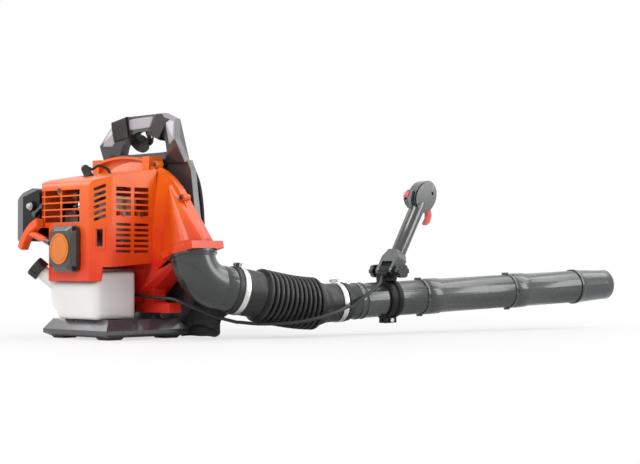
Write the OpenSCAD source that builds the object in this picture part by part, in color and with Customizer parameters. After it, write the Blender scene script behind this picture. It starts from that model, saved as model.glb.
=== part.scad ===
// Backpack leaf blower: a petrol engine and its fan on an L-shaped back frame, with a flexible hose,
// a three-piece blow tube and a pistol grip. X is the wearer's right, Y the way the wearer faces and
// Z up. The origin is the middle of the base, on the ground. Millimetres and degrees.

/* [Back frame] */
// Height of the top of the back panel above the ground
frame_h = 465; // [450:1:485]
// Width of the base
base_w = 216; // [206:1:230]
// Depth of the base
base_d = 208; // [204:1:230]
// Height of the base's top face above the ground
base_h = 40; // [36:1:42]
// Height of the feet under the base
foot_h = 5; // [4:1:6]
// Side of a foot, at the ground
foot_l = 32; // [24:1:40]
// Width of the sloped border round the base
base_bevel = 15; // [10:1:18]
// Thickness of the back panel
back_t = 14; // [12:1:16]
// Greatest width of the back panel
back_w = 320; // [308:2:326]
// Backward lean of the back panel
back_lean = 1.5; // [1:0.1:1.8]
// Height of the carry handle's bar
bar_h = 34; // [30:1:38]
// Width of the carry handle's hole
hole_w = 156; // [130:2:160]

/* [Harness] */
// Thickness of the back pad
pad_t = 18; // [12:1:20]
// Width of the shoulder straps
strap_w = 58; // [50:1:64]
// Thickness of a shoulder strap's padding
strap_t = 12; // [8:1:14]
// Width of the webbing
web_w = 44; // [40:1:50]
// Thickness of the webbing
web_t = 2.4; // [2:0.1:3]

/* [Fan] */
// Crankshaft and fan axis, sideways from the middle
crank_x = -8; // [-12:1:-4]
// Crankshaft and fan axis, above the ground
crank_z = 182; // [181:1:186]
// Plane where the two halves of the fan housing meet
seam_y = 44; // [42:1:46]
// Depth of the fan housing along its axis
fan_depth = 60; // [56:1:62]
// Wall of the fan housing
fan_wall = 2.8; // [2.4:0.1:3.2]
// Scroll radius at the cut-off
scroll_r0 = 112; // [109:1:114]
// Scroll radius where the outlet duct starts
scroll_r1 = 208; // [204:1:212]
// Radius of the impeller
impeller_r = 103; // [96:1:105]
// Radius of the impeller's eye
eye_r = 58; // [50:1:62]
// Number of impeller blades
blade_n = 14; // [10:1:16]
// Width of the flange where the halves are screwed together
seam_w = 5; // [4:0.5:7]

/* [Engine] */
// Radius of the crankcase
case_r = 41; // [38:1:41]
// Bore of the cylinder
bore_d = 40; // [36:1:42]
// Number of cooling fins on the cylinder
fin_n = 9; // [7:1:10]
// Radius of the flywheel
flywheel_r = 43; // [40:1:43]
// Wall of the moulded engine covers
cover_wall = 2.6; // [2.2:0.1:3]
// Throw of the crank
throw_r = 17; // [15:1:18]
// Lean of the spark plug from upright
plug_tilt = 38; // [34:1:40]

/* [Fuel tank] */
// Width of the tank
tank_w = 160; // [150:1:166]
// Depth of the tank
tank_d = 104; // [98:1:108]
// Height of the top of the tank above the ground
tank_top = 136; // [130:1:137]
// Diameter of the fuel cap
cap_d = 42; // [38:1:44]

/* [Hose and tube] */
// Radius of the elbow's outside
elbow_r = 45; // [43:0.5:46]
// Wall of the pipes
pipe_wall = 2.4; // [2:0.1:2.8]
// Bend radius of the elbow
bend_r = 62; // [58:1:64]
// Heading of the hose where it leaves the elbow, from sideways towards forward
hose_yaw = 80; // [78:1:82]
// Rise of the hose where it leaves the elbow
hose_pitch = -10; // [-12:1:-8]
// Heading of the blow tube, from sideways towards forward
tube_yaw = 79; // [77:0.5:81]
// Rise of the blow tube
tube_pitch = 2.35; // [1:0.05:4]
// Outside radius of the hose's ribs
rib_r = 55; // [53:0.5:56]
// Number of ribs
rib_n = 12; // [10:1:14]
// Outside radius of the blow tube
tube_r = 37.5; // [36.5:0.5:38.5]
// Outside radius at the nozzle's mouth
nozzle_r = 35; // [33:0.5:36]
// From the front hose clamp to the nozzle's mouth
tube_len = 783; // [760:1:860]
// From the front hose clamp to the first tube joint
joint1_at = 223; // [215:1:230]
// From the front hose clamp to the second tube joint
joint2_at = 476; // [460:1:500]
// From the front hose clamp to the step down to the nozzle
step_at = 681; // [660:1:700]

/* [Handle] */
// From the front hose clamp to the middle of the handle clamp
clamp_at = 134; // [120:1:150]
// Width of the handle clamp
clamp_w = 32; // [26:1:36]
// Height of the handle's pivot above the tube's axis
pivot_up = 60; // [58:1:64]
// Radius of the grip
grip_r = 16.5; // [15:0.5:18]
// From the pivot to the top of the grip tube
grip_len = 142; // [130:1:150]
// Forward lean of the grip
grip_lean = 30; // [26:1:34]
// Radius of a clamp knob
knob_r = 14.5; // [12:0.5:16]

/* [Clearances] */
// Gap between a soft piece and what it lies on
soft_gap = 0.3; // [0.2:0.05:0.5]
// Radial clearance of a running fit
run_gap = 0.05; // [0.02:0.01:0.08]
// Gap between pieces that are plugged together
plug_gap = 0.2; // [0.1:0.05:0.3]

/* [Hidden] */

$fn = 48;
eps = 0.01;

// Colours of the mouldings and metals
orange = [0.92, 0.33, 0.10];
grey = [0.27, 0.28, 0.28];
dark = [0.13, 0.14, 0.14];
black = [0.06, 0.06, 0.06];
alloy = [0.72, 0.73, 0.74];
steel = [0.60, 0.61, 0.62];
white = [0.92, 0.92, 0.90];
red = [0.86, 0.14, 0.10];

// ---- Helpers: profiles set along an axis, and pieces set along a direction ----

// An X-Z profile run from y0 to y1
module along_y(y0, y1) {
    translate([0, y1, 0]) rotate([90, 0, 0]) linear_extrude(y1 - y0) children();
}

// A Y-Z profile run from x0 to x1
module along_x(x0, x1) {
    translate([x0, 0, 0]) rotate([90, 0, 90]) linear_extrude(x1 - x0) children();
}

// A cylinder round the Y axis
module rod_y(r, y0, y1) {
    translate([0, y0, 0]) rotate([-90, 0, 0]) cylinder(r = r, h = y1 - y0);
}

// A cylinder round the X axis
module rod_x(r, x0, x1) {
    translate([x0, 0, 0]) rotate([0, 90, 0]) cylinder(r = r, h = x1 - x0);
}

// A tube round the Y axis
module tube_y(r_out, r_in, y0, y1) {
    difference() {
        rod_y(r_out, y0, y1);
        rod_y(r_in, y0 - 1, y1 + 1);
    }
}

// A tube round the Z axis
module tube_z(r_out, r_in, z0, z1) {
    translate([0, 0, z0]) difference() {
        cylinder(r = r_out, h = z1 - z0);
        translate([0, 0, -1]) cylinder(r = r_in, h = z1 - z0 + 2);
    }
}

module box(x0, x1, y0, y1, z0, z1) {
    translate([x0, y0, z0]) cube([x1 - x0, y1 - y0, z1 - z0]);
}

module rounded_rect(w, h, r) {
    hull() for (x = [-1, 1], y = [-1, 1])
        translate([x * (w / 2 - r), y * (h / 2 - r)]) circle(r = r, $fn = 32);
}

function unit(v) = v / norm(v);
function direction(yaw, pitch) = [cos(yaw) * cos(pitch), sin(yaw) * cos(pitch), sin(pitch)];

// Places children with their Z axis along z and their X axis as near x as it can be
module aligned(origin, z, x) {
    y_dir = unit(cross(z, x));
    x_dir = cross(y_dir, z);
    multmatrix([
        [x_dir.x, y_dir.x, z.x, origin.x],
        [x_dir.y, y_dir.y, z.y, origin.y],
        [x_dir.z, y_dir.z, z.z, origin.z],
        [0, 0, 0, 1]]) children();
}

// A polygon with each corner rounded, by one radius or one for each corner
function fillet(p, r) = let (n = len(p)) [for (i = [0:n - 1]) let (
    a = p[(i + n - 1) % n], b = p[i], c = p[(i + 1) % n], radius = is_list(r) ? r[i] : r,
    u = unit(a - b), v = unit(c - b), half = acos(u * v) / 2,
    mid = b + unit(u + v) * radius / sin(half), from = b + u * radius / tan(half) - mid,
    turn = sign((b.x - a.x) * (c.y - b.y) - (b.y - a.y) * (c.x - b.x)) * (180 - 2 * half),
    steps = max(1, ceil(abs(turn) / 18)))
    each radius == 0 ? [b] : [for (k = [0:steps]) let (t = turn * k / steps)
        mid + [from.x * cos(t) - from.y * sin(t), from.x * sin(t) + from.y * cos(t)]]];

// A polygon, counter-clockwise, moved in by d all round
function inset(p, d) = let (n = len(p)) [for (i = [0:n - 1]) let (
    u = unit(p[i] - p[(i + n - 1) % n]), v = unit(p[(i + 1) % n] - p[i]))
    p[i] + d * [-u.y - v.y, u.x + v.x] / (1 + u * v)];

// ---- Helpers: tubes swept along a route ----

// A smooth curve through the points of a route, with steps points from each to the next
function curve_point(a, b, c, d, t) = 0.5 * (2 * b + (c - a) * t + (2 * a - 5 * b + 4 * c - d) * t * t
    + (3 * b - a - 3 * c + d) * t * t * t);
function smooth(route, steps) = let (n = len(route)) concat(
    [for (i = [0:n - 2], k = [0:steps - 1]) curve_point(
        route[max(i - 1, 0)], route[i], route[i + 1], route[min(i + 2, n - 1)], k / steps)],
    [route[n - 1]]);
function heading(path, i) = unit(path[min(i + 1, len(path) - 1)] - path[max(i - 1, 0)]);
function ring_at(centre, along, r, sides, ref) = let (
    u = unit(cross(along, ref)),
    v = cross(u, along))
    [for (k = [0:sides - 1]) centre + r * (cos(360 * k / sides) * u + sin(360 * k / sides) * v)];

// A solid tube of one radius along a path
module cord(path, r, sides, ref) {
    count = len(path);
    points = [for (i = [0:count - 1]) each ring_at(path[i], heading(path, i), r, sides, ref)];
    skin = [for (i = [0:count - 2], k = [0:sides - 1]) let (
        a = i * sides + k, b = i * sides + (k + 1) % sides, c = a + sides, d = b + sides)
        each [[a, b, d], [a, d, c]]];
    caps = [for (k = [1:sides - 2]) each [
        [0, k + 1, k],
        [(count - 1) * sides, (count - 1) * sides + k, (count - 1) * sides + k + 1]]];
    polyhedron(points, concat(skin, caps), convexity = 10);
}

// A hollow tube whose rings are given outside first and then inside, and close on themselves
module hollow_sweep(centres, alongs, radii, sides, ref) {
    count = len(centres);
    points = [for (i = [0:count - 1]) each ring_at(centres[i], alongs[i], radii[i], sides, ref)];
    faces = [for (i = [0:count - 1], k = [0:sides - 1]) let (
        j = (i + 1) % count,
        a = i * sides + k, b = i * sides + (k + 1) % sides, c = j * sides + k,
        d = j * sides + (k + 1) % sides)
        each [[a, b, d], [a, d, c]]];
    polyhedron(points, faces, convexity = 10);
}

// ---- Back frame ----

base_lip = 14;
base_under = 11;
panel_z0 = base_h - 12;
shoulder_z = frame_h - 81;
base_y1 = 104;
base_y = base_y1 - base_d / 2;
panel_y0 = base_y1 - back_t;
wing_x = 60;
wing_sweep = 27;

// Sets children on the back panel: X across, Y from its rear face forward, Z up the panel
module on_back() {
    translate([0, panel_y0, 0]) rotate([back_lean, 0, 0]) children();
}

// Y of the panel's front face at height z
function back_front(z) = panel_y0 + back_t - z * tan(back_lean);

function base_profile(w) = [
    [base_under - w / 2, foot_h], [w / 2 - base_under, foot_h], [w / 2, foot_h + 6],
    [w / 2, foot_h + base_lip], [w / 2 - base_bevel, base_h], [base_bevel - w / 2, base_h],
    [-w / 2, foot_h + base_lip], [-w / 2, foot_h + 6]];
function foot_profile(at) = [
    [at - foot_l / 2, 0], [at + foot_l / 2, 0],
    [at + foot_l / 2 + foot_h, foot_h + 1], [at - foot_l / 2 - foot_h, foot_h + 1]];
panel_side = [
    [base_w / 2 - base_bevel - 4, panel_z0], [back_w / 2 - 32, 70], [back_w / 2 - 14, 112],
    [back_w / 2 - 6, 176], [back_w / 2, 214], [back_w / 2 - 7, 262],
    [back_w / 2 - 12, frame_h - 165], [back_w / 2 - 17, frame_h - 123],
    [back_w / 2 - 28, frame_h - 101]];

module wing_post(x, z, back) {
    translate([x - 2, -back, z - 4]) cube([4, back_t, 4]);
}

// One side of the carry handle, swept back towards the engine at its widest
module handle_wing() {
    hull() {
        wing_post(wing_x - 4, frame_h, 0);
        wing_post(wing_x - 4, shoulder_z - 20, 0);
        wing_post(back_w / 2 - 58, frame_h - 15, 7);
        wing_post(back_w / 2 - 36, frame_h - 58, wing_sweep);
        wing_post(back_w / 2 - 30, frame_h - 101, 8);
    }
}

module carry_hole() {
    half = hole_w / 2;
    top = frame_h - bar_h;
    polygon([[-half, shoulder_z], [half, shoulder_z], [half - 6, shoulder_z + 18],
        [half - 26, top - 6], [half - 52, top], [52 - half, top], [26 - half, top - 6],
        [6 - half, shoulder_z + 18]]);
}

module back_frame() {
    color(grey) {
        intersection() {
            along_y(base_y1 - base_d, base_y1) polygon(base_profile(base_w));
            translate([0, base_y, 0]) along_x(-base_w / 2, base_w / 2) polygon(base_profile(base_d));
        }
        for (x = [-1, 1], y = [-1, 1]) {
            foot_x = x * (base_w / 2 - base_under - foot_l / 2 - foot_h);
            foot_y = base_y + y * (base_d / 2 - base_under - foot_l / 2 - foot_h);
            intersection() {
                along_y(base_y1 - base_d, base_y1) polygon(foot_profile(foot_x));
                along_x(-base_w / 2, base_w / 2) polygon(foot_profile(foot_y));
            }
        }
        on_back() difference() {
            union() {
                along_y(0, back_t) polygon(concat(panel_side,
                    [for (i = [len(panel_side) - 1:-1:0]) [-panel_side[i].x, panel_side[i].y]]));
                along_y(0, back_t) translate([-wing_x, shoulder_z - 24])
                    square([2 * wing_x, frame_h - shoulder_z + 24]);
                handle_wing();
                mirror([1, 0, 0]) handle_wing();
            }
            along_y(-wing_sweep - 10, back_t + 10) carry_hole();
            // Recesses in the lower panel, behind the fan
            for (x = [-1, 1]) along_y(-1, back_t - 4) translate([x * 62, 96])
                rounded_rect(96, 74, 12);
        }
    }
}

// ---- Harness ----

pad_z0 = 120;
pad_z1 = frame_h - 135;

// Two upright cushions with a channel between them
module back_pad() {
    color(black) on_back() difference() {
        hull() for (x = [-1, 1], z = [pad_z0 + 20, pad_z1 - 20]) translate([x * 92, back_t + soft_gap, z])
            rod_y(20, 0, pad_t - (z > pad_z0 + 40 ? 0 : 4), $fn = 32);
        along_y(back_t + pad_t - 7, back_t + pad_t + 1)
            translate([-9, pad_z0 - 10]) square([18, pad_z1 - pad_z0 + 20]);
    }
}

// Webbing folded round a limb of the carry handle: at gives its middle, lean its turn from upright,
// slant how far it runs sideways for each step up, and reach the limb's width there
module strap_loop(at, lean, slant, reach) {
    rear = wing_sweep - 6;
    function band(up, half) = [[-half - slant * up, -up], [half - slant * up, -up],
        [half + slant * up, up], [slant * up - half, up]];
    color(black) difference() {
        on_back() translate([at.x, 0, at.y]) rotate([0, lean, 0]) difference() {
            along_y(-rear - web_t, back_t + 1 + web_t) polygon(band(reach / 2 + web_t, web_w / 2));
            along_y(-rear, back_t + 1) polygon(band(reach / 2, web_w));
        }
        back_frame();
    }
}

module strap_loop_left() strap_loop([-80, frame_h - 34], -41, 0.2, 62);
module strap_loop_right() strap_loop([40, frame_h - 17], 0, 0.85, bar_h + 10);

// A padded strap that bows forward from the carry handle and returns to the base
strap_x = 80;
strap_bow = [
    [soft_gap, frame_h - 108], [11, frame_h - 114], [22, frame_h - 130], [32, frame_h - 156],
    [38, frame_h - 200], [39, frame_h - 250], [37, 130], [29, 74], [17, 44], [soft_gap, 30]];
module shoulder_strap(side) {
    n = len(strap_bow);
    inner = [for (p = strap_bow) [back_front(p.y) + p.x, p.y]];
    out = [for (i = [0:n - 1]) let (v = unit(inner[min(i + 1, n - 1)] - inner[max(i - 1, 0)]))
        inner[i] + strap_t * [-v.y, v.x]];
    color(black) along_x(side * strap_x - strap_w / 2, side * strap_x + strap_w / 2)
        polygon(concat([for (i = [n - 1:-1:0]) inner[i]], [[out[0].x, inner[0].y + 4]],
            [for (i = [1:n - 2]) out[i]], [[out[n - 1].x, inner[n - 1].y - 4]]));
}
module shoulder_strap_left() shoulder_strap(-1);
module shoulder_strap_right() shoulder_strap(1);

// ---- Fan housing ----

screw_r = 2.5;
rear_y = seam_y - fan_depth / 2 + 4;
front_y = rear_y + fan_depth;
cut_off = -20;
outlet = [crank_x + 201, seam_y, crank_z - 10];
outlet_tilt = 13;
outlet_dir = [sin(outlet_tilt), 0, -cos(outlet_tilt)];
outlet_side = [cos(outlet_tilt), 0, sin(outlet_tilt)];
collar_w = 98;
collar_d = 82;
collar_t = 15;

function scroll_at(s, grow) = let (
    a = cut_off - (360 + cut_off) * s,
    r = scroll_r0 + (scroll_r1 - scroll_r0) * pow(s, 1.1) + grow)
    [crank_x + r * cos(a), crank_z + r * sin(a)];
function scroll(grow) = [for (i = [0:36]) scroll_at(i / 36, grow)];

// The whole fan casing, grown outwards by grow
module casing(grow) {
    hull() {
        along_y(seam_y - 10 - grow, seam_y + 18 + grow) polygon(scroll(grow));
        translate([crank_x, 0, crank_z]) {
            rod_y(scroll_r0 + grow - 4, rear_y - grow, rear_y - grow + 1, $fn = 32);
            rod_y(scroll_r0 + grow + 10, front_y + grow - 1, front_y + grow, $fn = 32);
        }
    }
    hull() {
        along_y(seam_y - 18 - grow, seam_y + 18 + grow) polygon([
            scroll_at(0.88, grow), scroll_at(0.94, grow), scroll_at(1, grow),
            scroll_at(0.02, -grow)]);
        aligned(outlet, outlet_dir, outlet_side) translate([0, 0, -collar_t - 6])
            cylinder(r = elbow_r + grow - 1, h = 6, $fn = 32);
    }
}

module outlet_collar() {
    aligned(outlet, outlet_dir, outlet_side) translate([0, 0, -collar_t]) {
        translate([-collar_w / 2, -collar_d / 2, 0]) cube([collar_w, collar_d, collar_t]);
        cylinder(r = elbow_r + 3.6, h = collar_t);
    }
}

// The bore that holds the elbow, and the room for its flange below
module outlet_bore() {
    aligned(outlet, outlet_dir, outlet_side) {
        translate([0, 0, -collar_t - 1]) cylinder(r = elbow_r + plug_gap, h = collar_t + 2);
        cylinder(r = elbow_r + 4 + soft_gap, h = 20);
    }
}

lug_angles = [118, 62, 30, 158, 200, 232];
function lug_point(a) = scroll_at((cut_off - (a - 360)) / (360 + cut_off), seam_w + 2);

// Screw lugs round the seam, with their holes
module seam_lugs(y0, y1) {
    for (a = lug_angles) translate([lug_point(a).x, 0, lug_point(a).y]) rod_y(7, y0, y1, $fn = 32);
}
module lug_holes() {
    for (a = lug_angles) translate([lug_point(a).x, 0, lug_point(a).y])
        rod_y(screw_r + plug_gap, rear_y, front_y, $fn = 32);
}

module seam_flange(y0, y1) {
    along_y(y0, y1) difference() {
        polygon(scroll(seam_w));
        polygon(scroll(-fan_wall));
    }
}

ear_x = [-108, 62];
ear_y1 = seam_y + 20;
ear_top = crank_z + 190;
leg_x = 74;
leg_z = base_h + 13;

// The shallow arch from ear to ear, between two heights from its top edge
function arch(up, down) = let (
    edge = [for (i = [0:8]) [ear_x[0] + (ear_x[1] - ear_x[0]) * i / 8, ear_top - 6 + 10 * sin(22.5 * i)]])
    concat([for (i = [0:8]) edge[i] + [0, down]], [for (i = [8:-1:0]) edge[i] + [0, up]]);

// Ears at the top and legs at the bottom, which the isolators hold
module mounts_of_housing(y0, y1, ear_y) {
    for (x = ear_x) box(x - 11, x + 11, y0, ear_y, crank_z + 130, ear_top);
    along_y(y0, ear_y) polygon(arch(0, -5));
    along_y(max(y0, seam_y - 4), min(ear_y, seam_y + 4)) polygon(arch(0, -50));
    for (x = [-1, 1]) {
        box(x * leg_x - 17, x * leg_x + 17, y0, y1, leg_z, crank_z - 80);
        box(x * 87 - 53, x * 87 + 53, y0, y1, leg_z, leg_z + 20);
    }
}

module fan_housing_rear() {
    color(orange) difference() {
        union() {
            difference() {
                union() {
                    intersection() {
                        casing(0);
                        box(-300, 400, rear_y - 60, seam_y, 0, 500);
                    }
                    seam_flange(seam_y - 4, seam_y);
                    seam_lugs(seam_y - 10, seam_y);
                    mounts_of_housing(seam_y - 16, seam_y, seam_y);
                    intersection() {
                        outlet_collar();
                        box(-300, 400, -100, seam_y, 0, 500);
                    }
                }
                casing(-fan_wall);
                outlet_bore();
            }
            // Hub that the crankcase is bolted to
            translate([crank_x, 0, crank_z]) rod_y(case_r - 4, rear_y - 6, rear_y + 2);
        }
        translate([crank_x, 0, crank_z]) rod_y(shaft_r + 1.5, rear_y - 10, seam_y);
        lug_holes();
        for (a = lug_angles) translate([lug_point(a).x, 0, lug_point(a).y])
            rod_y(5.4, rear_y, seam_y - 10, $fn = 32);
    }
}

module fan_housing_front() {
    color(orange) difference() {
        union() {
            intersection() {
                casing(0);
                box(-300, 400, seam_y + eps, front_y + 60, 0, 500);
            }
            seam_flange(seam_y + eps, seam_y + 4);
            seam_lugs(seam_y + eps, seam_y + 8);
            mounts_of_housing(seam_y + eps, seam_y + 14, ear_y1);
            intersection() {
                outlet_collar();
                box(-300, 400, seam_y + eps, 200, 0, 500);
            }
        }
        casing(-fan_wall);
        outlet_bore();
        translate([crank_x, 0, crank_z]) rod_y(eye_r + 6, seam_y, front_y + 10);
        lug_holes();
    }
}

module housing_screws() {
    color(steel) for (a = lug_angles) translate([lug_point(a).x, 0, lug_point(a).y]) {
        rod_y(screw_r, seam_y - 14, seam_y + 8, $fn = 24);
        rod_y(4.6, seam_y - 13, seam_y - 10, $fn = 24);
    }
}

// Guard over the fan's eye: rings on spokes
module intake_grille() {
    grille_y = front_y + 0.1;
    color(dark) translate([crank_x, 0, crank_z]) {
        tube_y(eye_r + 14, eye_r + 4, grille_y, grille_y + 3);
        for (r = [14:11:eye_r]) tube_y(r + 1.5, r - 1.5, grille_y, grille_y + 3);
        for (a = [0:45:315]) rotate([0, a, 0]) box(12, eye_r + 5, grille_y, grille_y + 3, -1.5, 1.5);
    }
}

// ---- Isolators ----

// Waisted rubber mounts under the fan housing's legs and between its ears and the back panel
module isolators() {
    height = leg_z - base_h;
    color(black) {
        for (x = [-1, 1]) translate([x * leg_x, seam_y - 1, base_h]) rotate_extrude() polygon([
            [0, 0], [14, 0], [14, 2], [10, 5], [10, height - 5], [14, height - 2], [14, height],
            [0, height]]);
        difference() {
            for (x = ear_x) translate([x, 0, ear_top - 11]) {
                rod_y(10, ear_y1, ear_y1 + 5);
                rod_y(8, ear_y1, panel_y0 + 5);
            }
            on_back() box(-200, 200, 0, back_t, 0, frame_h);
            back_frame();
        }
    }
}

// ---- Rotor ----

shaft_r = 7.5;
crank_pin_r = 6;
web_r = throw_r + 12;
blade_y0 = rear_y + 8;
blade_y1 = front_y - 8;
case_y0 = -78;
crank_mid = -38;
shaft_y0 = case_y0 - 35;
fly_y0 = case_y0 - 28;

// Backward-curved blades between a back plate and a shroud ring
module impeller() {
    blade_t = 2;
    arc = impeller_r * 0.62;
    color(dark) translate([crank_x, 0, crank_z]) {
        tube_y(impeller_r, shaft_r, blade_y0, blade_y0 + 2.5);
        tube_y(20, shaft_r, blade_y0, blade_y0 + 22);
        tube_y(impeller_r, eye_r + 2, blade_y1 - 2, blade_y1);
        intersection() {
            for (a = [0:360 / blade_n:359]) rotate([0, a, 0])
                translate([impeller_r * 0.42, 0, arc * 0.78])
                    tube_y(arc, arc - blade_t, blade_y0 + 1, blade_y1 - 1);
            tube_y(impeller_r - 1, eye_r - 6, blade_y0, blade_y1);
        }
    }
}

// Shaft with two round webs and the crank pin between them
module crankshaft() {
    color(steel) translate([crank_x, 0, crank_z]) {
        rod_y(shaft_r, shaft_y0, crank_mid - 5);
        rod_y(shaft_r, crank_mid + 5, blade_y0 + 26);
        rod_y(web_r, crank_mid - 15, crank_mid - 5);
        rod_y(web_r, crank_mid + 5, crank_mid + 15);
        translate([0, 0, throw_r]) rod_y(crank_pin_r, crank_mid - 6, crank_mid + 6);
    }
}

module flywheel() {
    color(alloy) translate([crank_x, 0, crank_z]) {
        tube_y(flywheel_r, shaft_r, fly_y0 + 4, fly_y0 + 20);
        tube_y(16, shaft_r, fly_y0 - 4, fly_y0 + 5);
        for (a = [0:24:336]) rotate([0, a, 0]) box(20, flywheel_r - 1, fly_y0, fly_y0 + 5, -1, 1);
    }
}

// ---- Engine ----

cyl_y = crank_mid;
deck_z = crank_z + case_r - 2;
head_z = crank_z + 122;
port_z = deck_z + 26;
port_x = 39;
port_r = 9;
fin_half = 37;
plug_r = 6;
plug_len = 33;
insulator_r = 4.6;
boot_len = 74;
boot_arm = 12;
plug_dir = [-sin(plug_tilt), 0, cos(plug_tilt)];
plug_at = [crank_x, cyl_y, head_z - 14];

module crankcase() {
    color(alloy) translate([crank_x, 0, crank_z]) difference() {
        union() {
            rod_y(case_r, case_y0, 10);
            rod_y(case_r - 4, 9, rear_y - 6 - plug_gap);
            box(-26, 26, cyl_y - 26, cyl_y + 26, 0, deck_z - crank_z);
        }
        rod_y(web_r + 4, crank_mid - 18, crank_mid + 18);
        rod_y(shaft_r + 1, case_y0 - 1, rear_y);
        translate([0, cyl_y, 0]) cylinder(r = bore_d / 2 + 1, h = 100);
        box(-28, 28, cyl_y - 28, cyl_y + 28, deck_z - crank_z, case_r + 1);
    }
}

module engine_cylinder() {
    fin_z0 = deck_z + 12;
    pitch = (head_z - fin_z0) / (fin_n - 1);
    color(alloy) difference() {
        translate([crank_x, cyl_y, 0]) {
            translate([0, 0, deck_z]) cylinder(r = bore_d / 2 + 5, h = head_z - deck_z + 6);
            box(-26, 26, -26, 26, deck_z, deck_z + 6);
            for (i = [0:fin_n - 1])
                translate([0, 0, fin_z0 + i * pitch])
                    box(-fin_half, fin_half, -fin_half, fin_half, 0, 2.2);
            box(-port_x, port_x, -16, 16, port_z - 14, port_z + 14);
        }
        translate([crank_x, cyl_y, deck_z - 1]) cylinder(r = bore_d / 2, h = head_z - deck_z - 4);
        translate([0, cyl_y, port_z]) rod_x(port_r, crank_x - port_x - 1, crank_x + port_x + 1);
        aligned(plug_at, plug_dir, [0, 1, 0]) cylinder(r = plug_r + plug_gap, h = 50);
    }
}

piston_z = crank_z + throw_r + 56;
pin_r = 5;

module piston() {
    color(alloy) translate([crank_x, cyl_y, piston_z]) {
        difference() {
            translate([0, 0, -16]) cylinder(r = bore_d / 2 - run_gap, h = 34);
            translate([0, 0, -17]) cylinder(r = bore_d / 2 - 4, h = 28);
            rod_y(pin_r, -bore_d, bore_d);
        }
        rod_y(pin_r, 1 - bore_d / 2, bore_d / 2 - 1);
    }
}

// The big end is left open round the crank pin's whole circle, so that the shaft can turn by itself
module connecting_rod() {
    eye = throw_r + crank_pin_r + 0.8;
    color(steel) translate([crank_x, 0, 0]) difference() {
        union() {
            translate([0, 0, crank_z]) rod_y(eye + 4, crank_mid - 4, crank_mid + 4);
            box(-5, 5, crank_mid - 3, crank_mid + 3, crank_z + eye + 2, piston_z - pin_r - 2);
            translate([0, 0, piston_z]) rod_y(pin_r + 3.5, crank_mid - 4, crank_mid + 4);
        }
        translate([0, 0, crank_z]) rod_y(eye, crank_mid - 5, crank_mid + 5);
        translate([0, 0, piston_z]) rod_y(pin_r + run_gap, crank_mid - 5, crank_mid + 5);
    }
}

module spark_plug() {
    aligned(plug_at, plug_dir, [0, 1, 0]) {
        color(steel) {
            cylinder(r = plug_r, h = plug_len);
            translate([0, 0, plug_len]) cylinder(r = 9.5, h = 7, $fn = 6);
            translate([0, 0, plug_len + 7]) cylinder(r = 6.5, h = 4);
            translate([0, 0, plug_len + 23]) cylinder(r = 3, h = 5);
        }
        color(white) translate([0, 0, plug_len + 11]) cylinder(r = insulator_r, h = 12);
    }
}

module plug_boot() {
    color(black) aligned(plug_at, plug_dir, [0, 1, 0]) difference() {
        union() {
            translate([0, 0, plug_len + 12]) cylinder(r = 9, h = boot_len - plug_len - 12);
            translate([0, 0, plug_len + 16]) cylinder(r = 10.5, h = 4);
            translate([0, 0, boot_len]) sphere(r = 9);
            translate([0, 0, boot_len]) rod_x(5, 0, boot_arm);
        }
        translate([0, 0, plug_len + 11]) cylinder(r = insulator_r + soft_gap, h = 18);
    }
}

// From the boot over the top cover, through it and down to the coil
module ignition_lead() {
    start = plug_at + boot_len * plug_dir + [0, boot_arm, 0];
    end = [crank_x, fly_y0 + 12, coil_z + 26];
    color(black) cord(concat([start], smooth([start + [0, 5, 0], [-46, -12, 356], [-38, -2, 354],
        [-31, 6, 344], lead_hole + [0, 0, 324], [-20, 0, 318], [0, -34, 318], [2, -72, 314],
        [-4, -91, 296], end + [0, 0, 6]], 3), [end]), 3, 8, [1, 0, 0]);
}

coil_z = crank_z + flywheel_r + 1.5;

module ignition_coil() {
    color(dark) translate([crank_x, 0, 0]) {
        box(-20, 20, fly_y0 + 2, case_y0 - 4, coil_z, coil_z + 20);
        translate([0, fly_y0 + 12, coil_z + 19]) cylinder(r = 6, h = 7);
    }
    color(steel) translate([crank_x, 0, 0])
        box(-14, 14, case_y0 - 5, case_y0, crank_z + 22, coil_z + 14);
}

muffler_x = crank_x + port_x + 9;

module muffler() {
    at = [0, cyl_y - 4, port_z - 4];
    color(steel) {
        translate(at) along_x(muffler_x, muffler_x + 42) rounded_rect(62, 88, 14);
        translate(at) along_x(muffler_x + 22, muffler_x + 24) rounded_rect(66, 92, 16);
        translate([0, cyl_y, port_z]) rod_x(13, crank_x + port_x, muffler_x + 1);
        translate([muffler_x + 34, at.y, at.z - 40]) rotate([180, 0, 0]) cylinder(r = 6, h = 14);
    }
}

carb_x1 = crank_x - port_x - 22;
carb_x0 = carb_x1 - 36;
throttle_x = carb_x1 - 12;

module intake_manifold() {
    flange = 4;
    color(black) translate([0, cyl_y, port_z]) difference() {
        union() {
            rod_x(13, carb_x1, crank_x - port_x);
            along_x(carb_x1, carb_x1 + flange) square([32, 28], center = true);
            along_x(crank_x - port_x - flange, crank_x - port_x) square([32, 28], center = true);
        }
        rod_x(port_r, carb_x1 - 1, crank_x);
    }
}

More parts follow.
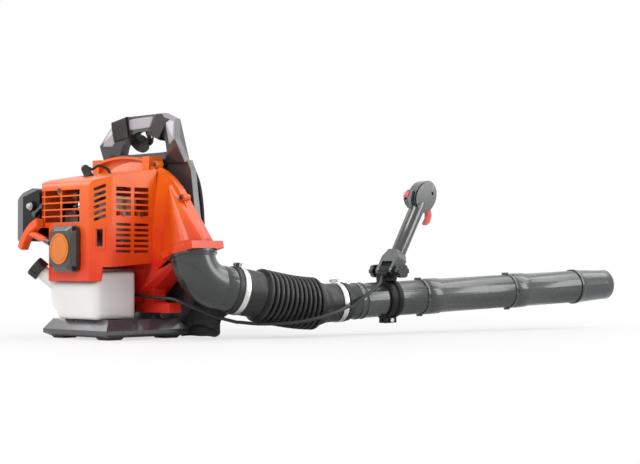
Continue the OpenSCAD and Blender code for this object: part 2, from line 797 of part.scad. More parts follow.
// Body with its air bore, metering cover and the bracket that holds the throttle cable's end
module carburettor() {
    color(alloy) translate([0, cyl_y, port_z]) difference() {
        union() {
            along_x(carb_x0, carb_x1) polygon(fillet([[-16, -16], [16, -16], [16, 16], [-16, 16]], 4));
            box(carb_x0 + 4, carb_x1 - 4, -14, 14, -24, -15);
            translate([(carb_x0 + carb_x1) / 2, 0, -28]) cylinder(r = 9, h = 5);
            box(cable_end.x - 6, cable_end.x + 6, 15, cable_end.y - cyl_y, 8, 11);
            box(cable_end.x - 6, cable_end.x + 6, cable_end.y - cyl_y - 3, cable_end.y - cyl_y, 8,
                cable_end.z - port_z + 5);
        }
        rod_x(port_r, carb_x0 - 1, carb_x1 + 1);
        translate([throttle_x, 0, -12]) cylinder(r = 2.5 + run_gap, h = 40);
    }
}

// Throttle shaft with its round valve plate and its arm
module throttle_lever() {
    color(steel) translate([throttle_x, cyl_y, port_z]) {
        translate([0, 0, -11.7]) cylinder(r = 2.5, h = 34);
        rod_x(port_r - 0.5, -0.6, 0.6);
        translate([0, 0, 16.3]) {
            cylinder(r = 6, h = 2.5);
            box(-18, 0, -3, 3, 0, 2.5);
            translate([-18, 0, 0]) cylinder(r = 3, h = 4);
        }
    }
}

filt_x1 = carb_x0 - 6;
filt_x0 = filt_x1 - 60;
filt_y0 = cyl_y - 74;
filt_y1 = cyl_y + 20;
filt_z0 = port_z - 48;
filt_z1 = port_z + 59;
filt_wall = 3;
filt_drop = 15;
choke_at = [filt_x1 - 13, port_z + 8];
primer_at = [filt_x1 - 25, port_z + 24];
filt_slope = filt_drop / (filt_x1 - filt_x0);

// The base's outline from behind, with a top that falls away from the engine, moved in by wall
function filter_outline(x0, x1, wall) = [[x0, filt_z0 + wall], [x1, filt_z0 + wall],
    [x1, filt_z1 - wall - filt_slope * (filt_x1 - x1)], [x0, filt_z1 - wall - filt_slope * (filt_x1 - x0)]];

// Open box that the foam fills, with its duct to the carburettor
module filter_base() {
    color(black) difference() {
        union() {
            along_y(filt_y0, filt_y1)
                polygon(fillet(filter_outline(filt_x0, filt_x1, 0), [2, 10, 10, 2]));
            translate([0, cyl_y, port_z]) rod_x(13, filt_x1 - 1, carb_x0);
            translate([choke_at.x, 0, choke_at.y]) rod_y(6, filt_y0 - 2, filt_y0 + 1);
            translate([primer_at.x, 0, primer_at.y]) rod_y(11, filt_y0 - 6, filt_y0 + 1);
        }
        along_y(filt_y0 + filt_wall, filt_y1 - filt_wall)
            polygon(filter_outline(filt_x0 - 1, filt_x1 - filt_wall, filt_wall));
        translate([0, cyl_y, port_z]) rod_x(port_r, filt_x1 - 10, carb_x0 + 1);
        translate([choke_at.x, 0, choke_at.y]) rod_y(3 + run_gap, filt_y0 - 3, filt_y0 + filt_wall + 1);
        translate([primer_at.x, 0, primer_at.y]) rod_y(8.3, filt_y0 - 7, filt_y0);
    }
}

module filter_element() {
    in = filt_wall + soft_gap;
    color(dark) difference() {
        along_y(filt_y0 + in, filt_y1 - in) polygon(filter_outline(filt_x0 + 4, filt_x1 - 16, in));
        for (i = [0:6]) box(filt_x0 + 3, filt_x0 + 12, filt_y0 + 10 + i * 12, filt_y0 + 14 + i * 12,
            filt_z0 + 8, filt_z1 - filt_drop - 8);
    }
}

// End cover with a lip that runs over the top of the base
module filter_cover() {
    x0 = filt_x0 - 19;
    x1 = filt_x1 - 12;
    low = filt_z1 - filt_drop + soft_gap;
    high = filt_z1 - filt_slope * (filt_x1 - x1) + soft_gap;
    color(grey) difference() {
        along_y(filt_y0, filt_y1) polygon(fillet([[x0, filt_z0], [filt_x0 - plug_gap, filt_z0],
            [filt_x0 - plug_gap, low], [x1, high], [x1, high + 3], [x1 - 12, high + 6],
            [filt_x0, low + 9], [x0, low - 4]], [6, 0, 0, 0, 2, 8, 8, 10]));
        box(x0 + 2.6, filt_x0 + 1, filt_y0 + 2.6, filt_y1 - 2.6, filt_z0 + 2.6, low - 12);
        for (i = [0:5]) box(x0 - 1, x0 + 1, filt_y0 + 12 + i * 13, filt_y0 + 16 + i * 13,
            filt_z0 + 14, low - 20);
    }
}

module choke_lever() {
    color(dark) translate([choke_at.x, filt_y0, choke_at.y]) {
        rod_y(3, -6, filt_wall - 0.5);
        rod_y(6, -6, -2 - soft_gap);
        rotate([0, -30, 0]) {
            box(0, 30, -6, -3, -2.5, 2.5);
            translate([30, 0, 0]) rod_y(5, -6, -3);
        }
    }
}

module primer_bulb() {
    dome = concat([for (a = [0:15:75]) [7 * cos(a), 7 + 7 * sin(a)]], [[0, 14]]);
    hollow = concat([[0, 12.4]], [for (a = [75:-15:0]) [5.4 * cos(a), 7 + 5.4 * sin(a)]]);
    color(white) translate([primer_at.x, filt_y0, primer_at.y]) rotate([90, 0, 0]) rotate_extrude()
        polygon(concat([[5.4, 2.6], [8, 2.6], [8, 6], [7, 6]], dome, hollow));
}

// ---- Engine cover ----

cover_x0 = crank_x - 100;
cover_x1 = crank_x + 105;
cover_y0 = -114;
cover_y1 = rear_y + 10;
cover_face = [[cover_x0, cover_y0], [cover_x1 - 33, cover_y0], [cover_x1, cover_y0 + 26]];
grille_z = 236;
corner_cut = 34;
corner_z = grille_z - 10;
skirt_x = cover_x1 - 17;
skirt_z = tank_top - 19;
grille_pitch = 13.6;
slot_pitch = 10.7;
slot_h = 5.5;
big_pitch = 12.2;
big_slot = 8.4;
lead_hole = [-30, 8, 0];

function cover_plan(front) = fillet(concat(cover_face, [[cover_x1, front], [cover_x0, front]]),
    [12, 10, 10, 0, 0]);
function cover_side(front, bottom) = fillet([[cover_y0, skirt_z - bottom],
    [cover_y0 + 22, skirt_z - bottom], [cover_y0 + 26, skirt_z + 28 - bottom],
    [front, skirt_z + 37 - bottom], [front, 325 + (front - cover_y0 - 26) / 6],
    [cover_y0 + 26, 325], [cover_y0, 316]], [0, 0, 0, 0, 0, 30, 12]);

// The cover's outer form or, moved in by its wall, the room inside it. Its corner is cut back below
// the grille, beside the starter and the fuel cap
module cover_form(wall) {
    side = corner_cut + wall * sqrt(2) + 20;
    difference() {
        intersection() {
            linear_extrude(400) polygon(inset(cover_plan(cover_y1 + 20 * sign(wall)), wall));
            along_x(-200, 200) polygon(inset(cover_side(cover_y1 + 20 * sign(wall), 20 * sign(wall)), wall));
        }
        linear_extrude(corner_z + wall) polygon([[cover_x0 - 20, cover_y0 - 20],
            [cover_x0 + side, cover_y0 - 20], [cover_x0 - 20, cover_y0 + side]]);
    }
}

// Children set on the chamfered face: X along it, Y into the cover
module on_chamfer() {
    a = cover_face[1];
    b = cover_face[2];
    translate([a.x, a.y, 0]) rotate([0, 0, atan2(b.y - a.y, b.x - a.x)]) children();
}
chamfer_w = norm(cover_face[2] - cover_face[1]);

// Slots through the walls: rear grille, chamfer louvres and two columns in the side
module cover_slots() {
    for (col = [[4, 11.5], [18.5, 55.5], [78, 61]], row = [0:4])
        box(cover_x0 + col.x, cover_x0 + col.x + col.y, cover_y0 - 5, cover_y0 + 6,
            grille_z + row * grille_pitch, grille_z + (row + 1) * grille_pitch - 3);
    for (i = [0:5]) on_chamfer() translate([chamfer_w / 2, 0, grille_z + 7 + i * 12]) rotate([0, -20, 0])
        box(-13, 13, -6, 8, -3, 3.4);
    on_chamfer() box(chamfer_w / 2 - 6, chamfer_w / 2 + 6, -6, 8, 186, 220);
    for (y = [cover_y0 + 41, cover_y0 + 86]) {
        for (i = [0:4]) box(cover_x1 - 6, cover_x1 + 5, y, y + 37, 248 + i * big_pitch,
            248 + i * big_pitch + big_slot);
        for (i = [0:5]) box(cover_x1 - 6, cover_x1 + 5, y, y + 37, 174 + i * slot_pitch,
            174 + i * slot_pitch + slot_h);
    }
}

side_screws = [[cover_y0 + 59, 251.5], [cover_y0 + 104, 251.5]];
rear_screws = [[cover_x0 + 70, grille_z + 64]];

module engine_cover() {
    color(orange) difference() {
        union() {
            difference() {
                cover_form(0);
                cover_form(cover_wall);
                cover_slots();
                casing(plug_gap);
                // Starter, carburettor, plug boot and ignition lead
                translate([crank_x, 0, crank_z]) along_y(cover_y0 - 5, cover_y0 + 6)
                    polygon(fillet([[-40, -42], [40, -42], [40, 40], [-40, 40]], 12));
                box(cover_x0 - 5, cover_x0 + 15, cyl_y - 26, cyl_y + 26, port_z - 32, port_z + 36);
                box(plug_at.x - 56, plug_at.x - 18, cyl_y - 14, cyl_y + 18, 310, 370);
                translate(lead_hole + [0, 0, 310]) cylinder(r = 4.5, h = 60);
            }
            // Frame round the window in the chamfer
            on_chamfer() difference() {
                box(chamfer_w / 2 - 12, chamfer_w / 2 + 12, -2, 1, 180, 226);
                box(chamfer_w / 2 - 8, chamfer_w / 2 + 8, -3, 4, 184, 222);
            }
            for (s = side_screws) translate([0, s.x, s.y]) rod_x(6.5, cover_x1 - 12, cover_x1);
            for (s = rear_screws) translate([s.x, 0, s.y]) rod_y(8, cover_y0, cover_y0 + 9);
        }
        for (s = side_screws)
            translate([0, s.x, s.y]) rod_x(screw_r + plug_gap, cover_x1 - 13, cover_x1 + 1);
        for (s = rear_screws) translate([s.x, 0, s.y])
            rod_y(screw_r + plug_gap, cover_y0 - 1, cover_y0 + 10);
        for (s = starter_screws) translate([crank_x + s.x, 0, crank_z + s.y])
            rod_y(screw_r + plug_gap, cover_y0 - 1, cover_y0 + 10);
        aligned(neck_at, neck_dir, [0, 1, 0]) cylinder(r = neck_r + 1.5, h = neck_len);
        // The skirt ends half way along the chamfer
        along_y(cover_y0 - 1, cover_y0 + 27) polygon([[skirt_x, skirt_z - 20], [cover_x1 + 1, skirt_z - 20],
            [cover_x1 + 1, skirt_z + 28.5], [skirt_x + 4, skirt_z + 28.5]]);
    }
}

module cover_screws() {
    color(steel) {
        for (s = side_screws) translate([0, s.x, s.y]) {
            rod_x(screw_r, cover_x1 - 14, cover_x1);
            rod_x(5, cover_x1, cover_x1 + 2.4);
        }
        for (s = rear_screws) translate([s.x, 0, s.y]) {
            rod_y(screw_r, cover_y0, cover_y0 + 12);
            rod_y(5, cover_y0 - 2.6, cover_y0);
        }
        for (s = starter_screws) translate([crank_x + s.x, 0, crank_z + s.y]) {
            rod_y(screw_r, cover_y0 - 5, cover_y0 + 8);
            rod_y(4.5, cover_y0 - 7, cover_y0 - 5);
        }
    }
}

// ---- Starter ----

starter_y0 = cover_y0 - 20;
starter_w = 88;
starter_h = 92;
reel_r = 30;
reel_y = starter_y0 + 4;
post_r = 5;
starter_screws = [[-38, -40], [38, -40], [38, 40], [-38, 40]];
rope_y = reel_y + 5;
rope_out = [crank_x - 58, rope_y, crank_z + 17];
grip_at = [-126, rope_y, 217];
pull_dir = unit(grip_at - rope_out);
rope_r = 1.8;

// Tapered cup with a flange, a rope guide and the post that the reel turns on
module starter_cover() {
    color(black) {
        difference() {
            union() {
                hull() {
                    translate([crank_x, 0, crank_z]) {
                        along_y(cover_y0 - 12, cover_y0 - plug_gap) rounded_rect(starter_w, starter_h, 16);
                        along_y(starter_y0, starter_y0 + 4) rounded_rect(70, 74, 20);
                    }
                }
                aligned(rope_out - 16 * pull_dir, pull_dir, [0, 1, 0]) cylinder(r = 7, h = 16);
            }
            translate([crank_x, 0, crank_z]) {
                rod_y(36, starter_y0 + 3, cover_y0 + 1);
                for (a = [0:30:330]) rotate([0, a, 0]) box(25, 28, starter_y0 - 1, starter_y0 + 4, -3, 3);
            }
            aligned(rope_out - 34 * pull_dir, pull_dir, [0, 1, 0]) cylinder(r = rope_r + 0.4, h = 40);
            for (s = starter_screws) translate([crank_x + s.x, 0, crank_z + s.y]) {
                rod_y(screw_r + plug_gap, cover_y0 - 20, cover_y0);
                rod_y(5.5, starter_y0, cover_y0 - 5);
            }
        }
        translate([crank_x, 0, crank_z]) rod_y(post_r, starter_y0 + 2, cover_y0);
    }
}

module starter_badge() {
    color(orange) translate([crank_x, starter_y0 - 2.5, crank_z]) difference() {
        rod_y(31, 0, 2.4);
        tube_y(27, 25, -1, 1);
    }
}

module starter_reel() {
    color(dark) translate([crank_x, 0, crank_z]) rotate([-90, 0, 0]) translate([0, 0, reel_y])
        rotate_extrude() polygon([[post_r + run_gap, 0], [reel_r, 0], [reel_r, 2], [reel_r - 8, 3.4],
            [reel_r - 8, 6.6], [reel_r, 8], [reel_r, 10], [post_r + run_gap, 10]]);
}

// Flat spiral strip of four turns round the post
module recoil_spring() {
    turns = 4;
    r0 = post_r + soft_gap;
    r1 = reel_r - 4;
    steps = 16 * turns;
    spiral = [for (i = [0:steps]) let (r = r0 + (r1 - r0) * i / steps, a = 360 * turns * i / steps)
        r * [cos(a), sin(a)]];
    back = [for (i = [steps:-1:0]) spiral[i] * (1 + 1 / norm(spiral[i]))];
    color(steel) translate([crank_x, 0, crank_z]) along_y(reel_y + 11, reel_y + 15)
        polygon(concat(spiral, back));
}

// From the reel's groove through the guide to the handle
module starter_rope() {
    color(white) aligned(rope_out - 30 * pull_dir, pull_dir, [0, 1, 0])
        cylinder(r = rope_r, h = 30 + norm(grip_at - rope_out) - 16, $fn = 12);
}

// Curved bar with a tapered stem that the rope is knotted into
module starter_handle() {
    bar_r = 9;
    arc_r = 95;
    half = 26;
    out = [-0.655, 0, 0.756];
    bar = fillet(concat([for (a = [-half:4:half]) (arc_r + bar_r) * [cos(a), sin(a)]],
        [for (a = [half:-4:-half]) (arc_r - bar_r) * [cos(a), sin(a)]]),
        [for (i = [0:27]) i == 0 || i == 13 || i == 14 || i == 27 ? 5 : 0]);
    color(orange) {
        aligned(grip_at - arc_r * out, [0, -1, 0], out) {
            translate([0, 0, 2 - bar_r]) linear_extrude(2 * bar_r - 4) polygon(bar);
            translate([0, 0, -bar_r]) linear_extrude(2 * bar_r) polygon(inset(bar, 2));
        }
        difference() {
            aligned(rope_out + 2 * pull_dir, pull_dir, [0, 1, 0])
                cylinder(r1 = 6, r2 = 8, h = norm(grip_at - rope_out) - 2);
            aligned(rope_out, pull_dir, [0, 1, 0])
                cylinder(r = rope_r, h = norm(grip_at - rope_out) - 16);
        }
    }
}

// ---- Fuel tank ----

tank_x0 = crank_x - tank_w / 2;
tank_x1 = crank_x + tank_w / 2;
tank_z0 = base_h + soft_gap;
tank_wall = 2.4;
neck_tilt = 40;
neck_yaw = 48;
neck_r = 15;
neck_dir = -direction(neck_yaw, -neck_tilt);
neck_at = [tank_x0 + 10, 10 - tank_d, tank_top - 24];
neck_len = 45;

module tank_form(wall) {
    intersection() {
        linear_extrude(200) polygon(inset(fillet([[tank_x0, -tank_d], [tank_x1, -tank_d],
            [tank_x1, 0], [tank_x0, 0]], 14), wall));
        along_y(-200, 50) polygon(inset(fillet([[tank_x0 + 31, tank_z0], [tank_x1, tank_z0],
            [tank_x1, tank_top], [tank_x0, tank_top], [tank_x0, tank_z0 + 38], [tank_x0 + 31, tank_z0 + 12]],
            [4, 8, 8, 8, 10, 10]), wall));
        along_x(-200, 200) polygon(inset(fillet([[-tank_d, tank_z0], [0, tank_z0], [0, tank_top],
            [16 - tank_d, tank_top], [16 - tank_d, skirt_z], [-tank_d, skirt_z]],
            [8, 8, 8, 6, 5, 8]), wall));
    }
}

module fuel_tank() {
    color(white) difference() {
        union() {
            tank_form(0);
            aligned(neck_at, neck_dir, [0, 1, 0]) cylinder(r = neck_r, h = neck_len);
        }
        tank_form(tank_wall);
        aligned(neck_at - 10 * neck_dir, neck_dir, [0, 1, 0]) cylinder(r = neck_r - 3, h = neck_len + 20);
        translate([line_at.x, line_at.y, tank_top - 10]) cylinder(r = line_r + 0.1, h = 20);
    }
}

module fuel_cap() {
    skirt = 9;
    color(black) aligned(neck_at + (neck_len - skirt) * neck_dir, neck_dir, [0, 1, 0]) difference() {
        union() {
            cylinder(r = cap_d / 2 - 1, h = 22);
            for (a = [0:30:330]) rotate([0, 0, a]) box(10, cap_d / 2, -2, 2, 1, 20);
        }
        translate([0, 0, -1]) cylinder(r = neck_r + plug_gap, h = skirt + 1 + plug_gap);
    }
}

line_at = [tank_x0 + 14, cyl_y];
line_r = 2.5;

// Up from the tank to the carburettor's metering cover
module fuel_line() {
    x = (carb_x0 + carb_x1) / 2;
    route = [[line_at.x, line_at.y, tank_top + 6], [line_at.x - 2, -40, 160], [-84, -44, 190],
        [x, cyl_y, port_z - 36]];
    ends = [[line_at.x, line_at.y, tank_top - 8], [x, cyl_y, port_z - 28]];
    color(dark) cord(concat([ends[0]], smooth(route, 4), [ends[1]]), line_r, 8, [0, 1, 0]);
}

// ---- Outlet elbow, hose and its clamps ----

hose_dir = direction(hose_yaw, hose_pitch);
tube_dir = direction(tube_yaw, tube_pitch);
tube_at = [264, 380, 70.5];
elbow_in = outlet + 10 * outlet_dir;
bend_angle = acos(outlet_dir * hose_dir);
bend_in = unit(hose_dir - cos(bend_angle) * outlet_dir);
bend_mid = elbow_in + bend_r * bend_in;
elbow_out = bend_mid + bend_r * (sin(bend_angle) * outlet_dir - cos(bend_angle) * bend_in);
hose_at = elbow_out + 41 * hose_dir;

module pipe_section(r, wall) {
    difference() {
        circle(r = r);
        circle(r = r - wall);
    }
}

// Straight spigots into the housing's collar and the hose, a little thicker than the bend between
module outlet_elbow() {
    bend_axis = cross(outlet_dir, bend_in);
    step = 0.4;
    lap = 3;
    spigot_wall = pipe_wall + 2 * step;
    color(dark) {
        aligned(outlet, outlet_dir, -bend_in) {
            translate([0, 0, -collar_t]) linear_extrude(collar_t + 10 + lap)
                pipe_section(elbow_r, spigot_wall);
            linear_extrude(6) pipe_section(elbow_r + 4, 5);
        }
        aligned(bend_mid, bend_axis, -bend_in) rotate_extrude(angle = bend_angle)
            translate([bend_r, 0]) pipe_section(elbow_r - step, pipe_wall);
        aligned(elbow_out, hose_dir, cross(hose_dir, bend_axis)) translate([0, 0, -lap])
            linear_extrude(56 + lap) pipe_section(elbow_r, spigot_wall);
    }
}

cuff_r = elbow_r + 2.7;
front_cuff_r = tube_r + 3;
hose_p = [hose_at + 24 * hose_dir, tube_at - 30 * tube_dir];
hose_pull = 0.36 * norm(hose_p[1] - hose_p[0]);
function hose_curve(t) = pow(1 - t, 3) * hose_p[0]
    + 3 * t * pow(1 - t, 2) * (hose_p[0] + hose_pull * hose_dir)
    + 3 * t * t * (1 - t) * (hose_p[1] - hose_pull * tube_dir) + pow(t, 3) * hose_p[1];
function total(v, i = 0) = i < len(v) ? v[i] + total(v, i + 1) : 0;
curve_len = total([for (i = [0:23]) norm(hose_curve((i + 1) / 24) - hose_curve(i / 24))]);
hose_len = curve_len + 54;
// Centre of the hose at s along it, measured from the rear clamp
function hose_point(s) = s < 24 ? hose_at + s * hose_dir
    : s > 24 + curve_len ? tube_at + (s - hose_len) * tube_dir : hose_curve((s - 24) / curve_len);

rib_from = 50;
rib_to = hose_len - 58;
rib_pitch = (rib_to - rib_from) / rib_n;
groove_r = cuff_r - 1;
hose_outside = concat(
    [[-18, cuff_r - 1], [-16, cuff_r], [10, cuff_r], [30, cuff_r], [rib_from - 4, cuff_r]],
    [for (i = [0:rib_n - 1]) each [
        [rib_from + i * rib_pitch, groove_r], [rib_from + (i + 0.2) * rib_pitch, rib_r - 1],
        [rib_from + (i + 0.4) * rib_pitch, rib_r], [rib_from + (i + 0.64) * rib_pitch, rib_r - 1],
        [rib_from + (i + 0.84) * rib_pitch, groove_r]]],
    [[rib_to + 2, groove_r + 1], [rib_to + 9, groove_r], [rib_to + 24, front_cuff_r + 1],
        [hose_len - 18, front_cuff_r], [hose_len + 6, front_cuff_r], [hose_len + 9, front_cuff_r],
        [hose_len + 10, front_cuff_r + 1.6], [hose_len + 13, front_cuff_r + 1.6],
        [hose_len + 14, front_cuff_r], [hose_len + 22, front_cuff_r]]);
hose_sides = 24;
// Radii of a bore whose flats, not its corners, clear what is inside it
rear_bore_r = (elbow_r + soft_gap) / cos(180 / hose_sides);
front_bore_r = (tube_r + soft_gap) / cos(180 / hose_sides);
hose_bore = concat(
    [[hose_len + 22, front_bore_r], [hose_len - 27, front_bore_r], [rib_to + 20, tube_r + 2],
        [rib_to + 4, groove_r - 2.4]],
    [for (i = [7:-1:0]) [rib_from + (rib_to - rib_from) * i / 8, groove_r - 2.4]],
    [[rib_from - 10, rear_bore_r], [20, rear_bore_r], [-18, rear_bore_r]]);

module flex_hose() {
    rings = concat(hose_outside, hose_bore);
    color(black) hollow_sweep([for (p = rings) hose_point(p.x)],
        [for (p = rings) unit(hose_point(p.x + 0.5) - hose_point(p.x - 0.5))],
        [for (p = rings) p.y], hose_sides, [0, 0, 1]);
}

// Worm-drive band with its screw housing on top
module hose_clamp(at, along, r) {
    color(alloy) aligned(at, along, [0, 0, 1]) {
        tube_z(r + 1.8, r + soft_gap, -6, 6);
        box(r + 1, r + 9, -8, 8, -5, 5);
        translate([r + 6, 0, 0]) rod_y(3.2, -13, 13);
        translate([r + 6, 0, 0]) rod_y(5, -17, -12);
    }
}
module hose_clamp_rear() hose_clamp(hose_at, hose_dir, cuff_r);
module hose_clamp_front() hose_clamp(tube_at, tube_dir, front_cuff_r);

// ---- Blow tube ----

// Children set on the tube: Y along it from the front clamp, Z up, X to the wearer's right
module along_tube() {
    translate(tube_at) rotate([0, 0, tube_yaw - 90]) rotate([tube_pitch, 0, 0]) children();
}

sleeve_len = 45;
overlap_len = 36;
sleeve_r = tube_r + 2;

// Ring with the catches that lock a joint between two pipes
module joint_ring(at) {
    difference() {
        union() {
            tube_y(sleeve_r + 0.5, tube_r - 1, at - 4, at + 3);
            box(-4.5, 4.5, at - 10, at + 3, tube_r - 0.5, tube_r + 5);
            box(-5, 5, at - 7, at + 3, -tube_r - 5, 0.5 - tube_r);
        }
        box(tube_r + 0.8, tube_r + 5, at - 3, at + 4, -5, 5);
    }
}

// Socket of the next pipe over the last one's end, with its shoulder inside
module joint_socket(at) {
    tube_y(sleeve_r, tube_r + plug_gap, at + 3 + plug_gap, at + sleeve_len);
    tube_y(sleeve_r, tube_r - pipe_wall, at + overlap_len + plug_gap, at + sleeve_len);
}

module swivel_pipe() {
    color(dark) along_tube() {
        tube_y(tube_r, tube_r - pipe_wall, -25, joint1_at + overlap_len);
        for (t = [44, 59]) tube_y(tube_r + 1.8, tube_r - 1, t, t + 3);
        joint_ring(joint1_at);
    }
}

module straight_pipe() {
    color(dark) along_tube() {
        joint_socket(joint1_at);
        tube_y(tube_r, tube_r - pipe_wall, joint1_at + sleeve_len - 1, joint2_at + overlap_len);
        joint_ring(joint2_at);
    }
}

module nozzle_pipe() {
    taper = tube_len - 20 - step_at;
    color(dark) along_tube() {
        joint_socket(joint2_at);
        tube_y(tube_r, tube_r - pipe_wall, joint2_at + sleeve_len - 1, step_at);
        tube_y(tube_r + 3, tube_r - 1, step_at - 4, step_at + 4);
        difference() {
            translate([0, step_at, 0]) rotate([-90, 0, 0]) {
                cylinder(r1 = tube_r + 1.6, r2 = nozzle_r, h = taper);
                translate([0, 0, taper]) cylinder(r = nozzle_r, h = 20);
            }
            translate([0, step_at - 1, 0]) rotate([-90, 0, 0]) {
                cylinder(r1 = tube_r - pipe_wall, r2 = nozzle_r - pipe_wall, h = taper + 1);
                cylinder(r = nozzle_r - pipe_wall, h = taper + 30);
            }
        }
    }
}

// ---- Handle ----

pivot_y = clamp_at + 7;
tower_x = 18;
cheek_t = 10;
cheek_x = tower_x + soft_gap;
bolt_r = 5;
knob_x = 41;
grip_y = 4.3;
head_z0 = grip_len + 45;
head_half = [29, 37.5];
trigger_at = [grip_y + 19.7, head_z0 - 9];

module handle_clamp() {
    y0 = clamp_at - clamp_w / 2;
    y1 = clamp_at + clamp_w / 2;
    color(dark) along_tube() difference() {
        union() {
            tube_y(tube_r + 4, tube_r + plug_gap, y0, clamp_at - 4);
            tube_y(tube_r + 2.4, tube_r + plug_gap, clamp_at - 5, clamp_at + 5);
            tube_y(tube_r + 4, tube_r + plug_gap, clamp_at + 4, y1);
            along_x(-tower_x, tower_x) polygon([[y0 + 2, tube_r + 2], [y1 - 2, tube_r + 2],
                [pivot_y + 14, pivot_up], [pivot_y - 14, pivot_up], [y0 + 2, pivot_up - 4]]);
            translate([0, pivot_y, pivot_up]) rod_x(14, -tower_x, tower_x);
            for (x = [-1, 1]) box(x * 8 - 5, x * 8 + 5, y0 + 2, y1 - 2, -tube_r - 14, -tube_r - 1);
        }
        rod_y(tube_r + plug_gap, y0 - 1, y1 + 1);
        translate([0, pivot_y, pivot_up]) rod_x(bolt_r + run_gap, -tower_x - 1, tower_x + 1);
        translate([0, clamp_at, -tube_r - 8]) rod_x(2.6, -14, 14);
    }
}

module pivot_bolt() {
    color(steel) along_tube() {
        translate([0, pivot_y, pivot_up]) rod_x(bolt_r, -knob_x - 4, knob_x + 4);
        translate([0, clamp_at, -tube_r - 8]) {
            rod_x(2.5, -16, 16);
            rod_x(4.6, 13, 17);
        }
    }
}

// Lobed knob on the pivot bolt, its hub against the grip's cheek
module knob() {
    hub_x = cheek_x + cheek_t + soft_gap;
    color(black) translate([0, pivot_y, pivot_up]) difference() {
        union() {
            rod_x(8, hub_x, knob_x + 1);
            rod_x(knob_r, knob_x, knob_x + 13);
        }
        rod_x(bolt_r + run_gap, hub_x - 1, knob_x + 5);
        for (a = [30:60:330])
            rotate([a, 0, 0]) translate([0, knob_r + 2, 0]) rod_x(4, knob_x - 1, knob_x + 14);
    }
}
module knob_left() along_tube() mirror([1, 0, 0]) knob();
module knob_right() along_tube() knob();

// Children set on the grip: Z up it from the pivot, Y forward
module on_grip() {
    along_tube() translate([0, pivot_y, pivot_up]) rotate([-grip_lean, 0, 0]) children();
}

function oval(half, n) = [for (i = [0:n - 1]) [half.x * cos(360 * i / n), half.y * sin(360 * i / n)]];

// Forked foot, round grip and oval head, with the pods for the trigger and the stop switch
module grip_shell() {
    color(black) on_grip() difference() {
        union() {
            for (x = [-1, 1]) {
                translate([x * (cheek_x + cheek_t / 2), 0, 0]) rod_x(14, -cheek_t / 2, cheek_t / 2);
                translate([x * (cheek_x + cheek_t / 2), 0, 0]) box(-cheek_t / 2, cheek_t / 2, -13, 14, 0, 30);
            }
            along_y(-13, 14) polygon([[-cheek_x - cheek_t, 18], [cheek_x + cheek_t, 18],
                [cheek_x + cheek_t, 30], [grip_r - 2, 48], [2 - grip_r, 48], [-cheek_x - cheek_t, 30]]);
            translate([0, grip_y, 30]) cylinder(r = grip_r, h = grip_len);
            translate([0, grip_y + 1, head_z0]) {
                along_x(-13, 13) polygon(oval(head_half, 40));
                along_x(-16, 16) polygon(oval(head_half - [3, 3], 40));
            }
            along_x(-7, 7) polygon([[-24, head_z0 - 34], [-14, head_z0 - 38], [-10, head_z0],
                [-33, head_z0 - 3], [-33, head_z0 - 26]]);
        }
        rod_x(bolt_r + run_gap, -60, 60);
        box(-6.5, 6.5, grip_y + 9.7, 50, head_z0 - 40, head_z0 + 3);
        box(-3.3, 3.3, -34, -27, head_z0 - 27, head_z0 - 5);
        translate([0, grip_y + 12, head_z0 + 14]) rod_x(4, 13, 17);
    }
    color(steel) on_grip() translate([0, trigger_at.x, trigger_at.y]) rod_x(2, -9, 9);
}

module throttle_trigger() {
    color(red) on_grip() translate([0, trigger_at.x, trigger_at.y]) difference() {
        along_x(-6, 6) polygon(fillet([[-5, 4], [4, 5], [10, -4], [20, -16], [23, -32], [18, -43],
            [12, -41], [13, -28], [9, -18], [0, -10], [-6, -3]], [2, 3, 3, 4, 5, 2.5, 2.5, 5, 4, 3, 2]));
        rod_x(2 + run_gap, -10, 10);
    }
}

module stop_switch() {
    color(red) on_grip() {
        box(-2.9, 2.9, -35, -27.4, head_z0 - 20, head_z0 - 12);
        along_x(-5.5, 5.5) polygon([[-33 - soft_gap, head_z0 - 24], [-33 - soft_gap, head_z0 - 8],
            [-36, head_z0 - 8], [-38, head_z0 - 12], [-36.5, head_z0 - 16], [-38, head_z0 - 20],
            [-36, head_z0 - 24]]);
    }
}

// ---- Throttle cable: engine to hose, along the hose, and up to the handle ----

cable_r = 3.5;
cable_end = [throttle_x - 8, cyl_y + 28, port_z + 20];
cable_ref = unit([-1, 1, 1]);
hose_cable_at = [222, 140, 34];
hose_cable_dir = unit([0.5, 0.86, -0.1]);
function on_tube(p) = tube_at + p.x * [sin(tube_yaw), -cos(tube_yaw), 0] + p.y * tube_dir
    + p.z * cross([sin(tube_yaw), -cos(tube_yaw), 0], tube_dir);
tube_cable_at = on_tube([50, 0, -8]);

module cable(start, start_dir, route, end, end_dir, steps) {
    color(black) cord(concat([start], smooth(concat([start + 6 * start_dir], route, [end - 6 * end_dir]), steps),
        [end]), cable_r, 8, cable_ref);
}

module throttle_cable() {
    cable(cable_end, [0, 1, 0], [[-90, 6, 258], [-91, 8, 230], [-91, 8, 150], [-86, 8, 108],
        [-70, 8, 92], [-30, 8, 88], [20, 8, 88], [60, 12, 88], [110, 18, 84], [150, 32, 80],
        [178, 60, 64], [200, 98, 46]],
        hose_cable_at, hose_cable_dir, 3);
}

module hose_cable() {
    cable(hose_cable_at, hose_cable_dir, [[248, 178, 30], [284, 230, 32], [304, 280, 40], [314, 330, 52]],
        tube_cable_at, tube_dir, 5);
}

module handle_cable() {
    cable(tube_cable_at, tube_dir,
        [for (p = [[50, 30, 6], [47, 60, 22], [38, 88, 36], [22, 105, 44]]) on_tube(p)],
        on_tube([10, clamp_at - clamp_w / 2 + 2, 48]), tube_dir, 4);
}

